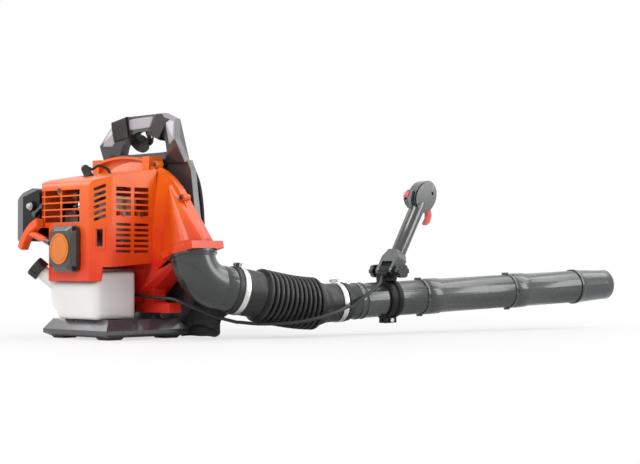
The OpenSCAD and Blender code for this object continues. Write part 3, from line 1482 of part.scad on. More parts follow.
back_frame();
back_pad();
strap_loop_left();
strap_loop_right();
shoulder_strap_left();
shoulder_strap_right();
isolators();
fan_housing_rear();
fan_housing_front();
housing_screws();
intake_grille();
impeller();
crankshaft();
flywheel();
crankcase();
engine_cylinder();
piston();
connecting_rod();
spark_plug();
plug_boot();
ignition_lead();
ignition_coil();
muffler();
carburettor();
throttle_lever();
intake_manifold();
filter_base();
filter_element();
filter_cover();
choke_lever();
primer_bulb();
engine_cover();
cover_screws();
starter_cover();
starter_badge();
starter_reel();
recoil_spring();
starter_rope();
starter_handle();
fuel_tank();
fuel_cap();
fuel_line();
outlet_elbow();
hose_clamp_rear();
flex_hose();
hose_clamp_front();
swivel_pipe();
straight_pipe();
nozzle_pipe();
handle_clamp();
pivot_bolt();
knob_left();
knob_right();
grip_shell();
throttle_trigger();
stop_switch();
throttle_cable();
hose_cable();
handle_cable();
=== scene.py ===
import bpy
import numpy as np
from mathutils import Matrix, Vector


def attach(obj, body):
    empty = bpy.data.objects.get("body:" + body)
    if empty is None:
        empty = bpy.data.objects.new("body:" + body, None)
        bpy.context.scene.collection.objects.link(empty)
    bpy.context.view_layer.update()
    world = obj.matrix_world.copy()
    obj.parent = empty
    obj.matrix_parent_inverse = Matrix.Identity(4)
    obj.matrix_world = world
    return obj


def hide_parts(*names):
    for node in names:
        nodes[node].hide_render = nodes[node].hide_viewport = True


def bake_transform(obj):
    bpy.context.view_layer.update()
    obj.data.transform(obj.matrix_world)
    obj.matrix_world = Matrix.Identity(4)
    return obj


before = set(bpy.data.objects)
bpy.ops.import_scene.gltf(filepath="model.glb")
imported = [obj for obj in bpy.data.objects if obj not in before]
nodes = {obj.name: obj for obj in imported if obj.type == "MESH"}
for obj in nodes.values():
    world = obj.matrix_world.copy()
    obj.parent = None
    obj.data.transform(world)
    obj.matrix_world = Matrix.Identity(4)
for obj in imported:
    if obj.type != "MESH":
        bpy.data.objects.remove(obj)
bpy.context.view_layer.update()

# ---- The studio ----
# A pale sweep of floor and wall that the camera sees as white, four broad soft lamps round the
# machine, and a long lens set low and far off, at the machine's rear right corner.


def linear(r, g, b):
    """The light that a screen colour of 0 to 255 stands for, as shaders take it."""
    c = np.array([r, g, b]) / 255
    return (*np.where(c <= 0.04045, c / 12.92, ((c + 0.055) / 1.055) ** 2.4), 1.0)


def new_object(name, points, faces):
    """A mesh object at the origin from an n by 3 array of points and a list of faces."""
    mesh = bpy.data.meshes.new(name)
    mesh.from_pydata(np.asarray(points, float).tolist(), [], [list(map(int, f)) for f in faces])
    mesh.validate()
    mesh.update()
    mesh.polygons.foreach_set("use_smooth", np.full(len(mesh.polygons), True))
    made = bpy.data.objects.new(name, mesh)
    bpy.context.scene.collection.objects.link(made)
    return made


world = bpy.data.worlds.new("room_light")
bpy.context.scene.world = world
world.use_nodes = True
wn, wl = world.node_tree.nodes, world.node_tree.links.new
room = wn["Background"]
room.inputs["Color"].default_value = (0.94, 0.96, 1.0, 1)
room.inputs["Strength"].default_value = 0.50
white_wall = wn.new("ShaderNodeBackground")
white_wall.inputs["Color"].default_value = (1, 1, 1, 1)
seen = wn.new("ShaderNodeLightPath")
either = wn.new("ShaderNodeMath")
either.operation = "MAXIMUM"
wl(seen.outputs["Is Camera Ray"], either.inputs[0])
wl(seen.outputs["Is Transmission Ray"], either.inputs[1])
mirrored = wn.new("ShaderNodeMath")
mirrored.operation = "MAXIMUM"
wl(either.outputs[0], mirrored.inputs[0])
wl(seen.outputs["Is Glossy Ray"], mirrored.inputs[1])
pick = wn.new("ShaderNodeMixShader")
wl(mirrored.outputs[0], pick.inputs[0])
wl(room.outputs[0], pick.inputs[1])
wl(white_wall.outputs[0], pick.inputs[2])
wl(pick.outputs[0], wn["World Output"].inputs[0])

floor = new_object("floor", [[-9, -9, 0], [9, -9, 0], [9, 9, 0], [-9, 9, 0]], [[0, 1, 2, 3]])
pale = bpy.data.materials.new("pale_floor")
pale.use_nodes = True
fn, fl = pale.node_tree.nodes, pale.node_tree.links.new
fn["Principled BSDF"].inputs["Base Color"].default_value = (0.80, 0.80, 0.81, 1)
fn["Principled BSDF"].inputs["Roughness"].default_value = 0.6
glow = fn.new("ShaderNodeEmission")
glow.inputs["Color"].default_value = (1, 1, 1, 1)
seen = fn.new("ShaderNodeLightPath")
place = fn.new("ShaderNodeTexCoord")
middle = fn.new("ShaderNodeMapping")
middle.inputs["Location"].default_value = (-0.16, -0.42, 0)
fl(place.outputs["Object"], middle.inputs["Vector"])
away = fn.new("ShaderNodeVectorMath")
away.operation = "LENGTH"
fl(middle.outputs["Vector"], away.inputs[0])
lit = fn.new("ShaderNodeMapRange")
lit.interpolation_type = "SMOOTHSTEP"
for socket, value in (("From Min", 0.45), ("From Max", 1.35), ("To Min", 0.62), ("To Max", 1.0)):
    lit.inputs[socket].default_value = value
fl(away.outputs["Value"], lit.inputs["Value"])
share = fn.new("ShaderNodeMath")
share.operation = "MULTIPLY"
fl(seen.outputs["Is Camera Ray"], share.inputs[0])
fl(lit.outputs["Result"], share.inputs[1])
pick = fn.new("ShaderNodeMixShader")
fl(share.outputs[0], pick.inputs[0])
fl(fn["Principled BSDF"].outputs[0], pick.inputs[1])
fl(glow.outputs[0], pick.inputs[2])
fl(pick.outputs[0], fn["Material Output"].inputs[0])
floor.data.materials.append(pale)


def lamp(name, at, aim, wide, tall, watts, tint=(1, 1, 1)):
    """An oblong soft lamp at one point, turned to face another."""
    data = bpy.data.lights.new(name, "AREA")
    data.shape = "RECTANGLE"
    data.size = wide
    data.size_y = tall
    data.energy = watts
    data.color = tint
    made = bpy.data.objects.new(name, data)
    bpy.context.scene.collection.objects.link(made)
    made.location = at
    made.rotation_euler = (Vector(aim) - Vector(at)).to_track_quat("-Z", "Y").to_euler()


lamp("key_lamp", (0.6, -2.6, 2.7), (0.1, 0.1, 0.2), 1.8, 1.4, 66, (1, 0.95, 0.86))
lamp("side_lamp", (2.75, 2.05, 1.35), (0.32, 0.6, 0.25), 1.3, 1.9, 37)
lamp("rear_lamp", (-2.6, -1.4, 1.8), (0.0, 0.2, 0.2), 1.8, 1.8, 30, (0.94, 0.97, 1))
lamp("front_lamp", (1.1, 2.8, 2.9), (0.3, 0.7, 0.1), 2.6, 2.0, 40)

lens = bpy.data.cameras.new("lens")
lens.sensor_width = 36.0
lens.lens = 84.375
lens.clip_end = 60
camera = bpy.data.objects.new("camera", lens)
bpy.context.scene.collection.objects.link(camera)
camera.location = (2.4857, -1.8900, 0.1495)
camera.rotation_euler = (np.radians(90 + 1.26), 0, np.radians(45))
bpy.context.scene.camera = camera
bpy.context.scene.view_settings.view_transform = "Standard"

# ---- Back frame ----
# One moulding in satin grey polypropylene: the base tray on its four feet, the upright panel and
# the carry handle. Its finish is a fine spark-eroded grain.


class Nodes:
    """The node tree of a new material, with short calls for the few node types used here."""

    def __init__(self, name, uv=False):
        self.material = bpy.data.materials.new(name)
        self.material.use_nodes = True
        self.tree = self.material.node_tree
        self.shader = self.tree.nodes["Principled BSDF"]
        place = self.tree.nodes.new("ShaderNodeTexCoord")
        self.at = place.outputs["UV" if uv else "Object"]

    def link(self, out, into):
        self.tree.links.new(out, into)
        return into

    def turned(self, scale=(1, 1, 1), turn=(0, 0, 0)):
        m = self.tree.nodes.new("ShaderNodeMapping")
        m.inputs["Scale"].default_value = scale
        m.inputs["Rotation"].default_value = turn
        self.link(self.at, m.inputs["Vector"])
        return m.outputs["Vector"]

    def noise(self, scale, detail=3.0, where=None):
        t = self.tree.nodes.new("ShaderNodeTexNoise")
        t.inputs["Scale"].default_value = scale
        t.inputs["Detail"].default_value = detail
        self.link(where or self.at, t.inputs["Vector"])
        return t.outputs["Fac"]

    def wave(self, scale, where=None, along="X"):
        t = self.tree.nodes.new("ShaderNodeTexWave")
        t.bands_direction = along
        t.inputs["Scale"].default_value = scale
        t.inputs["Distortion"].default_value = 0
        self.link(where or self.at, t.inputs["Vector"])
        return t.outputs["Fac"]

    def cells(self, scale, jitter=1.0):
        t = self.tree.nodes.new("ShaderNodeTexVoronoi")
        t.inputs["Scale"].default_value = scale
        t.inputs["Randomness"].default_value = jitter
        self.link(self.at, t.inputs["Vector"])
        return t.outputs["Distance"]

    def sum(self, a, b, how="ADD"):
        m = self.tree.nodes.new("ShaderNodeMath")
        m.operation = how
        for k, v in enumerate((a, b)):
            if isinstance(v, (int, float)):
                m.inputs[k].default_value = v
            else:
                self.link(v, m.inputs[k])
        return m.outputs[0]

    def ranged(self, value, low, high, from_low=0.3, from_high=0.7):
        m = self.tree.nodes.new("ShaderNodeMapRange")
        m.inputs["From Min"].default_value = from_low
        m.inputs["From Max"].default_value = from_high
        m.inputs["To Min"].default_value = low
        m.inputs["To Max"].default_value = high
        self.link(value, m.inputs["Value"])
        return m.outputs[0]

    def mixed(self, share, a, b):
        m = self.tree.nodes.new("ShaderNodeMix")
        m.data_type = "RGBA"
        self.link(share, m.inputs[0])
        for socket, v in ((m.inputs[6], a), (m.inputs[7], b)):
            if isinstance(v, tuple):
                socket.default_value = v
            else:
                self.link(v, socket)
        return m.outputs[2]

    def bumped(self, height, depth, over=None):
        b = self.tree.nodes.new("ShaderNodeBump")
        b.inputs["Distance"].default_value = depth
        b.inputs["Strength"].default_value = 1.0
        self.link(height, b.inputs["Height"])
        if over is not None:
            self.link(over, b.inputs["Normal"])
        return b.outputs["Normal"]

    def set(self, **values):
        for name, v in values.items():
            socket = self.shader.inputs[name.replace("_", " ")]
            if isinstance(v, (int, float, tuple)):
                socket.default_value = v
            else:
                self.link(v, socket)
        return self.material


def moulded(name, colour, rough, grain=1500, depth=0.000008, shift=0.10, polish=0.10, coat=0.0,
            flow=0.0, low=None, painted_shade_levels=(0, 1), gloss=0.5):
    """Moulded plastic: fine noise lifts the grain, broad noise shifts the colour by a share either
    way and the polish by a step, and slow waves stand for the sink and flow of the melt. Where low
    is set, the colour runs from it at the bottom to the other above between two heights: painted
    shade low down and painted light on top."""
    n = Nodes(name)
    broad = n.noise(14, 4)
    fleck = n.noise(420, 2)
    tone = n.sum(n.sum(broad, 0.75, "MULTIPLY"), n.sum(fleck, 0.25, "MULTIPLY"))
    dull = tuple(c * (1 - shift) for c in colour[:3]) + (1,)
    bright = tuple(min(1, c * (1 + shift)) for c in colour[:3]) + (1,)
    colour_out = n.mixed(n.ranged(tone, 0, 1, 0.35, 0.65), dull, bright)
    # Painted shade and light: towards the bottom the colour darkens to the low colour, and above it
    # stays the brighter one, standing in for how the lamps fall.
    if low is not None:
        split = n.tree.nodes.new("ShaderNodeSeparateXYZ")
        n.link(n.at, split.inputs[0])
        height = n.sum(split.outputs["Z"], n.sum(n.sum(broad, -0.5), 0.16, "MULTIPLY"))
        colour_out = n.mixed(n.ranged(height, 0, 1, *painted_shade_levels), low, colour_out)
    normal = n.bumped(n.noise(grain, 2), depth)
    if flow:
        normal = n.bumped(n.noise(9, 1), flow, over=normal)
    return n.set(
        Base_Color=colour_out,
        Roughness=n.ranged(n.noise(34, 4), rough - polish / 2, rough + polish / 2),
        Normal=normal,
        Coat_Weight=coat,
        Coat_Roughness=0.12,
        Specular_IOR_Level=gloss,
    )


def welded(piece):
    """Joins a piece's doubled corners, so that what follows sees one closed skin."""
    weld = piece.modifiers.new("join_corners", "WELD")
    weld.merge_threshold = 0.00001


def remade(name, voxel, rounds):
    """Gives a CAD node soft moulded corners: its skin is laid anew on a fine grid, then relaxed."""
    piece = nodes[name]
    welded(piece)
    laid = piece.modifiers.new("laid_anew", "REMESH")
    laid.mode = "VOXEL"
    laid.voxel_size = voxel
    laid.use_smooth_shade = True
    relaxed = piece.modifiers.new("relaxed", "SMOOTH")
    relaxed.factor = 0.5
    relaxed.iterations = rounds


def dress(material, *names, edge=0.0, limit=38):
    """Gives CAD nodes a material, and, where edge is set, rounds their sharp edges by that radius."""
    for name in names:
        piece = nodes[name]
        for s in piece.material_slots:
            s.material = material
        if not piece.material_slots:
            piece.data.materials.append(material)
        if edge:
            welded(piece)
            soft = piece.modifiers.new("round_edges", "BEVEL")
            soft.width = edge
            soft.segments = 2
            soft.limit_method = "ANGLE"
            soft.angle_limit = np.radians(limit)
            soft.use_clamp_overlap = True
            soft.harden_normals = True


grey = moulded("grey_polypropylene", linear(64, 61, 64), 0.30, shift=0.06, coat=0.5, flow=0.0004)
dress(grey, "back_frame", edge=0.0012)


def skin(name, grid, around=True, ends=True):
    """A surface through an n by m by 3 grid of points: quads between neighbours, closed round the
    second way where around is set, with the ends closed by a fan. Its map holds metres both ways."""
    grid = np.asarray(grid, float)
    n, m = grid.shape[:2]
    i, j = np.meshgrid(np.arange(n - 1), np.arange(m if around else m - 1), indexing="ij")
    i, j = i.ravel(), j.ravel()
    k = (j + 1) % m
    quads = np.stack([i * m + j, i * m + k, (i + 1) * m + k, (i + 1) * m + j], 1)
    step_u = np.linalg.norm(np.diff(grid, axis=0), axis=2).mean(1)
    loop = np.concatenate([grid, grid[:, :1]], 1) if around else grid
    step_v = np.linalg.norm(np.diff(loop, axis=1), axis=2).mean(0)
    u = np.concatenate([[0], np.cumsum(step_u)])
    v = np.concatenate([[0], np.cumsum(step_v)])
    around_quad = ((i, j), (i, j + 1), (i + 1, j + 1), (i + 1, j))
    maps = np.stack([np.stack([u[a], v[b]], 1) for a, b in around_quad], 1)
    points, faces, flat = grid.reshape(-1, 3), quads.tolist(), maps.reshape(-1, 2)
    if ends and around:
        middles = np.stack([grid[0].mean(0), grid[-1].mean(0)])
        points = np.concatenate([points, middles])
        a = np.arange(m)
        b = (a + 1) % m
        last = (n - 1) * m
        fan = [[n * m, y, x] for x, y in zip(a, b)]
        fan += [[n * m + 1, last + x, last + y] for x, y in zip(a, b)]
        faces += fan
        flat = np.concatenate([flat, np.zeros((3 * len(fan), 2))])
    made = new_object(name, points, faces)
    made.data.uv_layers.new(name="run").data.foreach_set("uv", flat.astype(np.float32).ravel())
    return made


def corners_of(node):
    """The triangles of a CAD node, as a count by 3 by 3 array of points."""
    mesh = nodes[node].data
    mesh.calc_loop_triangles()
    points = np.empty(3 * len(mesh.vertices))
    mesh.vertices.foreach_get("co", points)
    index = np.empty(3 * len(mesh.loop_triangles), int)
    mesh.loop_triangles.foreach_get("vertices", index)
    return points.reshape(-1, 3)[index].reshape(-1, 3, 3)


def rear_of(triangles, x, z):
    """Y of the rearmost surface over each (x, z): the least height, by shares of area, over the
    triangles whose outline holds that place. Where none does, the nearest row's value stands in."""
    a, b, c = (triangles[:, k, ::2] for k in range(3))
    p = np.stack([x.ravel(), z.ravel()], 1)[:, None]

    def cross(u, v):
        return u[..., 0] * v[..., 1] - u[..., 1] * v[..., 0]

    whole = cross(b - a, c - a)
    kept = np.abs(whole) > 1e-10
    a, b, c, whole, high = a[kept], b[kept], c[kept], whole[kept], triangles[kept, :, 1]
    u, v = cross(c - b, p - b) / whole, cross(a - c, p - c) / whole
    w = 1 - u - v
    y = u * high[:, 0] + v * high[:, 1] + w * high[:, 2]
    y = np.where((u > -1e-6) & (v > -1e-6) & (w > -1e-6), y, np.inf).min(1)
    return np.where(np.isfinite(y), y, y[np.isfinite(y)].max()).reshape(x.shape)


HIGHLIGHT_PLATE_RISE = 0.0007
HIGHLIGHT_PLATE_RIM = 0.0022
HIGHLIGHT_PLATE_GRID = 25


def highlight_plate(name, corners, material):
    """A thin light-grey plate laid on the frame's rear face as a painted highlight, standing in for the
    lamps' reflection on the handle's facets: a four-cornered grid of (x, z) places with rounded
    corners, set on the face below it, a little proud, with its rim turned down into it."""
    along = np.linspace(-1, 1, HIGHLIGHT_PLATE_GRID)
    u, v = np.meshgrid(along, along, indexing="ij")
    disc_u, disc_v = u * np.sqrt(1 - v**2 / 2 * 0.22), v * np.sqrt(1 - u**2 / 2 * 0.22)
    s, t = (disc_u / 0.943 + 1) / 2, (disc_v / 0.943 + 1) / 2
    s, t = np.clip(s, 0, 1)[..., None], np.clip(t, 0, 1)[..., None]
    q = np.array(corners, float) / 1000
    flat = (1 - s) * (1 - t) * q[0] + s * (1 - t) * q[1] + s * t * q[2] + (1 - s) * t * q[3]
    rim = np.maximum(np.abs(u), np.abs(v))
    y = rear_of(frame_faces, flat[..., 0], flat[..., 1]) - HIGHLIGHT_PLATE_RISE + HIGHLIGHT_PLATE_RIM * (rim > 0.99)
    made = skin(name, np.stack([flat[..., 0], y, flat[..., 1]], 2)[:, ::-1], around=False)
    made.data.materials.append(material)
    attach(made, "frame")


frame_faces = corners_of("back_frame")
# Painted highlight: three light-grey plates on the handle's rear face stand in for the lamps'
# reflections on its facets.
painted_highlight_grey = moulded("handle_inlay", linear(176, 176, 184), 0.34, shift=0.05, coat=0.3, flow=0.0005)
highlight_plate("handle_inlay_left", [(-118, 402), (-96, 402), (-66, 442), (-100, 452)], painted_highlight_grey)
highlight_plate("handle_inlay_middle", [(-56, 436), (14, 438), (26, 461), (-58, 459)], painted_highlight_grey)
highlight_plate("handle_inlay_right", [(96, 396), (122, 404), (104, 446), (70, 452)], painted_highlight_grey)

# ---- Back pad ----
# Two upright foam cushions under one knitted mesh cover, sewn down along the channel between them
# and across at two seams.


def mesh_cloth(name, colour, pitch=0.0028):
    """Knitted spacer mesh: rounded cells at the knit's pitch stand as holes, over a slow mottle."""
    n = Nodes(name)
    cell = n.cells(1 / pitch, jitter=0.25)
    hole = n.ranged(cell, 1, 0, 0.18, 0.42)
    dark = tuple(c * 0.35 for c in colour[:3]) + (1,)
    tone = n.mixed(hole, colour, dark)
    normal = n.bumped(n.ranged(cell, 0, 1, 0.1, 0.5), 0.0006)
    return n.set(
        Base_Color=tone,
        Roughness=n.ranged(n.noise(40), 0.75, 0.95),
        Normal=normal,
        Sheen_Weight=0.35,
        Sheen_Roughness=0.5,
    )


LEAN = np.tan(np.radians(1.5))


def panel_front(z):
    """Y of the back panel's front face at a height, which leans back by 1.5 degrees."""
    return 0.104 - z * LEAN


def cushion(side):
    """One half of the pad. A point at angle a and reach r of a rounded oblong stands off the panel by
    a crown of (1 - r^4)^0.6, pulled in at the rim and at two sewn seams across."""
    reach = np.concatenate([np.linspace(0.0, 0.9, 22), [0.94, 0.97, 0.99, 1.0]])
    a = np.linspace(0, 2 * np.pi, 97)[:-1]
    r, t = np.meshgrid(reach, a, indexing="ij")
    across, up = np.cos(t), np.sin(t)
    square = (np.abs(across) ** 5 + np.abs(up) ** 5) ** (-1 / 5)
    x = side * 0.0605 + r * square * across * 0.0515
    z = 0.2248 + r * square * up * 0.1050
    crown = 0.0045 + 0.0135 * np.clip(1 - r**4, 0, 1) ** 0.6
    for seam in (0.192, 0.258):
        crown -= 0.0065 * np.exp(-(((z - seam) / 0.0042) ** 2)) * np.clip(1 - r**6, 0, 1)
    crown += 0.0006 * np.sin(x * 210 + z * 90) * np.sin(z * 160) * (1 - r**2)
    front = np.stack([x, panel_front(z) + 0.0004 + crown, z], 2)
    back = front.copy()
    back[..., 1] = panel_front(z) + 0.0004
    return np.concatenate([front, back[::-1]], 0)


pad_cloth = mesh_cloth("pad_mesh_cloth", linear(34, 35, 38))
for side, word in ((-1, "left"), (1, "right")):
    half = skin("back_pad_" + word, cushion(side)[1:-1], ends=True)
    half.data.materials.append(pad_cloth)
    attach(half, "frame")
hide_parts("back_pad")


def route(points, count):
    """A smooth curve through the points, a Catmull-Rom spline resampled at even steps."""
    p = np.asarray(points, float)
    q = np.concatenate([[2 * p[0] - p[1]], p, [2 * p[-1] - p[-2]]])
    t = np.linspace(0, 1, 24, endpoint=False)[:, None]
    a, b, c, d = q[:-3, None], q[1:-2, None], q[2:-1, None], q[3:, None]
    second, third = 2 * a - 5 * b + 4 * c - d, 3 * b - a - 3 * c + d
    line = 0.5 * (2 * b + (c - a) * t + second * t**2 + third * t**3)
    line = np.concatenate([line.reshape(-1, 3), p[-1:]])
    run = np.concatenate([[0], np.cumsum(np.linalg.norm(np.diff(line, axis=0), axis=1))])
    want = np.linspace(0, run[-1], count)
    return np.stack([np.interp(want, run, line[:, k]) for k in range(3)], 1)


def headings(path):
    """Unit tangents of a path by central differences."""
    t = np.gradient(path, axis=0)
    return t / np.linalg.norm(t, axis=1)[:, None]


def carried(path, ring, across):
    """The grid of a closed ring of (side, up) offsets, one ring or one for each point, carried along a
    path: side runs along across made square to the path, up along the path crossed with it."""
    t = headings(path)
    across = np.broadcast_to(np.asarray(across, float), t.shape)
    across = across - (across * t).sum(1)[:, None] * t
    across /= np.linalg.norm(across, axis=1)[:, None]
    lift = np.cross(across, t)
    ring = np.broadcast_to(ring, (len(path),) + np.shape(ring)[-2:])
    return path[:, None] + ring[..., :1] * across[:, None] + ring[..., 1:] * lift[:, None]


def oblong(half_w, half_t, count=32, power=4.0):
    """A closed ring of (side, up) offsets on a superellipse."""
    a = np.linspace(0, 2 * np.pi, count, endpoint=False)
    c, s = np.cos(a), np.sin(a)
    k = (np.abs(c) ** power + np.abs(s) ** power) ** (-1 / power)
    return np.stack([k * c * half_w, k * s * half_t], 1)


# ---- Shoulder straps ----
# Each is a foam strap under the same mesh cloth with bound edges, sewn to a length of webbing that
# runs up into the carry handle and down through a ladder buckle to the base.


WARP_SCALE, WEFT_SCALE = 454.56, 384.63


def webbing(name, colour):
    """Woven polyester tape: ribs along the run cross finer picks over it, in the piece's map."""
    n = Nodes(name, uv=True)
    warp = n.wave(WARP_SCALE, along="Y")
    weft = n.wave(WEFT_SCALE, along="X")
    twill = n.sum(warp, weft, "MULTIPLY")
    tone = n.mixed(n.ranged(twill, 0, 1, 0, 1), tuple(c * 0.55 for c in colour[:3]) + (1,), colour)
    return n.set(
        Base_Color=tone,
        Roughness=0.7,
        Normal=n.bumped(twill, 0.0004),
        Sheen_Weight=0.25,
        Sheen_Roughness=0.4,
    )


TAPE_HALF = 0.0008  # half the thickness of the polyester tape
tape = webbing("polyester_webbing", linear(44, 44, 46))
strap_cloth = mesh_cloth("strap_mesh_cloth", linear(30, 31, 34), 0.0024)
binding = webbing("edge_binding", linear(20, 20, 22))
bow = [(0.0003, 0.357), (0.011, 0.351), (0.022, 0.335), (0.032, 0.309), (0.038, 0.265), (0.039, 0.215),
       (0.037, 0.130), (0.029, 0.074), (0.017, 0.044), (0.0003, 0.030)]


def strap_line(x, off, low=0.0, high=1.0, count=150):
    """The strap's route at x, off proud of its inner face, from one share of its length to another."""
    line = route([(x, panel_front(z) + y, z) for y, z in bow], 400)
    out = np.cross(headings(line), (1.0, 0, 0))
    line = line - out * off
    return line[np.round(np.linspace(low * 399, high * 399, count)).astype(int)]


buckle_plastic = moulded("buckle_acetal", linear(22, 22, 23), 0.35, coat=0.2)
for side, word in ((-1, "left"), (1, "right")):
    x = side * 0.080
    line = strap_line(x, 0.006, 0.02, 0.80)
    s = np.linspace(0, 1, len(line))
    upper, lower = np.clip((0.06 - s) / 0.06, 0, 1), np.clip((s - 0.86) / 0.14, 0, 1)
    width = 0.029 * (1 - 0.32 * lower**2 - 0.18 * upper)
    thick = 0.0058 * (1 - 0.55 * np.clip((s - 0.9) / 0.1, 0, 1) - 0.4 * np.clip((0.05 - s) / 0.05, 0,
                                                                                1))
    thick = thick - 0.0012 * np.exp(-((((s * 6.0) % 1) - 0.5) / 0.05) ** 2) * (s > 0.05) * (s < 0.9)
    base = oblong(1, 1, 40, 3.2)
    ring = np.stack([base[None, :, 0] * width[:, None], base[None, :, 1] * thick[:, None]], 2)
    pad = skin("shoulder_pad_" + word, carried(line, ring, (1, 0, 0)))
    pad.data.materials.append(strap_cloth)
    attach(pad, "frame")
    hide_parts("shoulder_strap_" + word)
    for edge in (-1, 1):
        rim = line + np.stack([edge * (width - 0.0005), 0 * s, 0 * s], 1)
        piping = skin("strap_binding_%s_%s" % (word, "outer" if edge == side else "inner"),
                      carried(rim, oblong(0.0024, 0.0044, 14, 2.4), (1, 0, 0)))
        piping.data.materials.append(binding)
        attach(piping, "frame")
    run = strap_line(x, 0.0125, 0.0, 0.82, 170)
    run[:6] += (strap_line(x, 0.006, 0.0, 0.82, 170)[:6] - run[:6]) * np.linspace(1, 0, 6)[:, None]
    tail = strap_line(x, 0.003, 0.76, 1.0, 60)
    for part, path in (("sewn", run), ("lower", tail)):
        band = skin("strap_tape_%s_%s" % (part, word),
                    carried(path, oblong(0.0125, TAPE_HALF, 16, 6), (1, 0, 0)))
        band.data.materials.append(tape)
        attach(band, "frame")
    # Ladder buckle where the pad's tape meets the lower tape
    mid = strap_line(x, 0.006, 0.80, 0.80, 2)[0]
    aim = headings(strap_line(x, 0.006, 0.78, 0.84, 12))[5]
    out = -np.cross(aim, (1.0, 0, 0))
    bars = []
    for k, along in enumerate((-0.013, -0.003, 0.007, 0.016)):
        c = mid + aim * along + out * (0.001 if k % 2 else 0.004)
        bars.append(carried(np.stack([c - (0.0175, 0, 0), c + (0.0175, 0, 0)]),
                            oblong(0.0022, 0.0017, 12, 3), aim))
    for edge in (-1, 1):
        reach = np.linspace(-0.016, 0.019, 12)[:, None]
        path = mid + (edge * 0.0175, 0, 0) + aim * reach + out * 0.0025
        bars.append(carried(path, oblong(0.0026, 0.0032, 12, 3), (1, 0, 0)))
    joined = [skin("part", b) for b in bars]
    bpy.ops.object.select_all(action="DESELECT")
    for b in joined:
        b.select_set(True)
    bpy.context.view_layer.objects.active = joined[0]
    bpy.ops.object.join()
    joined[0].name = "ladder_buckle_" + word
    joined[0].data.materials.append(buckle_plastic)
    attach(joined[0], "frame")

# ---- Webbing round the carry handle ----
# The straps' upper ends: wide polyester tape folded round the handle's limbs and sewn to itself, so
# it lies a little loose, with its edges standing off the plastic.


def mm(*points):
    """Points in millimetres as an array in metres."""
    return np.array(points, float) / 1000


def folded(name, at, lean, skew, size, rear, tilt):
    """A loop of tape round a limb: a point at angle a lies on a squared circle between the limb's
    front face and a rear plane tilted across, leaned over and skewed, and pushed out by slow waves.
    The tape's two faces are a thickness apart."""
    a = np.linspace(0, 2 * np.pi, 121)[:, None]
    v = np.linspace(-1, 1, 24)[None, :]
    c, s = np.cos(a), np.sin(a)
    k = (np.abs(c) ** 9 + np.abs(s) ** 9) ** (-1 / 9)
    turn = np.radians(lean)
    sheets = []
    for inset in (0, 0.0014):
        grow = 0.0010 + 0.0006 * np.sin(2 * a + 1.1 * v + at[0] * 40) + 0.0006 * v**4 - inset
        across = v * size[0] / 2
        up = k * s * (size[1] / 2 + grow) + skew * across
        x = across * np.cos(turn) + up * np.sin(turn)
        z = up * np.cos(turn) - across * np.sin(turn) + at[1]
        back, front = rear + tilt * x, panel_front(z) + 0.0010
        y = (front + back) / 2 + k * c * ((front - back) / 2 + grow)
        sheets.append(np.stack([x + at[0], y, z], 2))
    return skin(name, np.concatenate([sheets[0], sheets[1][:, ::-1]], 1), ends=False)


tapes = [folded("handle_tape_left", (-0.075, 0.437), -9, 0.09, (0.0386, 0.0436), 0.0675, 0.24),
         folded("handle_tape_right", (0.0452, 0.4364), 43, 0.448, (0.0410, 0.0532), 0.0730, -0.10)]
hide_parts("strap_loop_left")
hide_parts("strap_loop_right")
slack = [
    ("handle_tail_inner", mm((-72, 96, 440), (-68, 97, 424), (-56, 100, 408), (-40, 103, 401),
                             (-24, 102, 406),
                             (-14, 99, 420), (-10, 95.5, 434)), 0.0125, (0.1, 0.25, 1)),
    ("handle_tail_outer", mm((-58, 96, 441), (-52, 103, 424), (-38, 108, 412), (-20, 106, 411),
                             (-6, 101, 416),
                             (4, 97, 428), (10, 95.5, 438)), 0.0085, (-0.3, 0.35, 1)),
    ("waist_tape", mm((84, 104, 30), (96, 110, 43), (112, 120, 50), (135, 127, 49), (160, 130, 42),
                      (173, 133, 36),
                      (171, 138, 30), (155, 139, 25), (135, 134, 25), (112, 126, 26), (96, 114, 26),
                      (84, 104.5, 25)),
     0.0228, (0.08, 0.2, 1)),
]
for name, points, half, across in slack:
    path = route(points, 140)
    run = np.linspace(0, 1, 140)[:, None]
    sway = (0.0012 * np.sin(run * 21), 0.0016 * np.cos(run * 17), 0.0010 * np.sin(run * 29))
    path = path + np.sin(run * np.pi) * np.concatenate(sway, 1)
    tapes.append(skin(name, carried(path, oblong(half, TAPE_HALF, 40, 6), across)))
for band in tapes:
    band.data.materials.append(tape)
    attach(band, "frame")

# ---- Rubber mounts ----
# Moulded rubber blocks hold the engine unit off the frame and keep its shake from the wearer: two
# under its legs and two at its upper ears.


def rubber(name, colour, rough=0.62, grain=900, depth=0.00005):
    """Moulded rubber: a soft grain, and a faint grey bloom where broad noise runs high."""
    n = Nodes(name)
    bloom = tuple(min(1, c * 1.7 + 0.012) for c in colour[:3]) + (1,)
    return n.set(
        Base_Color=n.mixed(n.ranged(n.noise(22, 5), 0, 0.8, 0.45, 0.75), colour, bloom),
        Roughness=n.ranged(n.noise(60, 3), rough - 0.08, rough + 0.1),
        Normal=n.bumped(n.noise(grain, 2), depth),
        Specular_IOR_Level=0.4,
    )


black_rubber = rubber("black_rubber", linear(30, 30, 31))
dress(black_rubber, "isolators", edge=0.0015)

# ---- Fan unit ----
# The volute is two glossy orange nylon halves screwed together round the seam. Behind them sit the
# guard over the fan's eye and the fan itself, in glass-filled nylon.

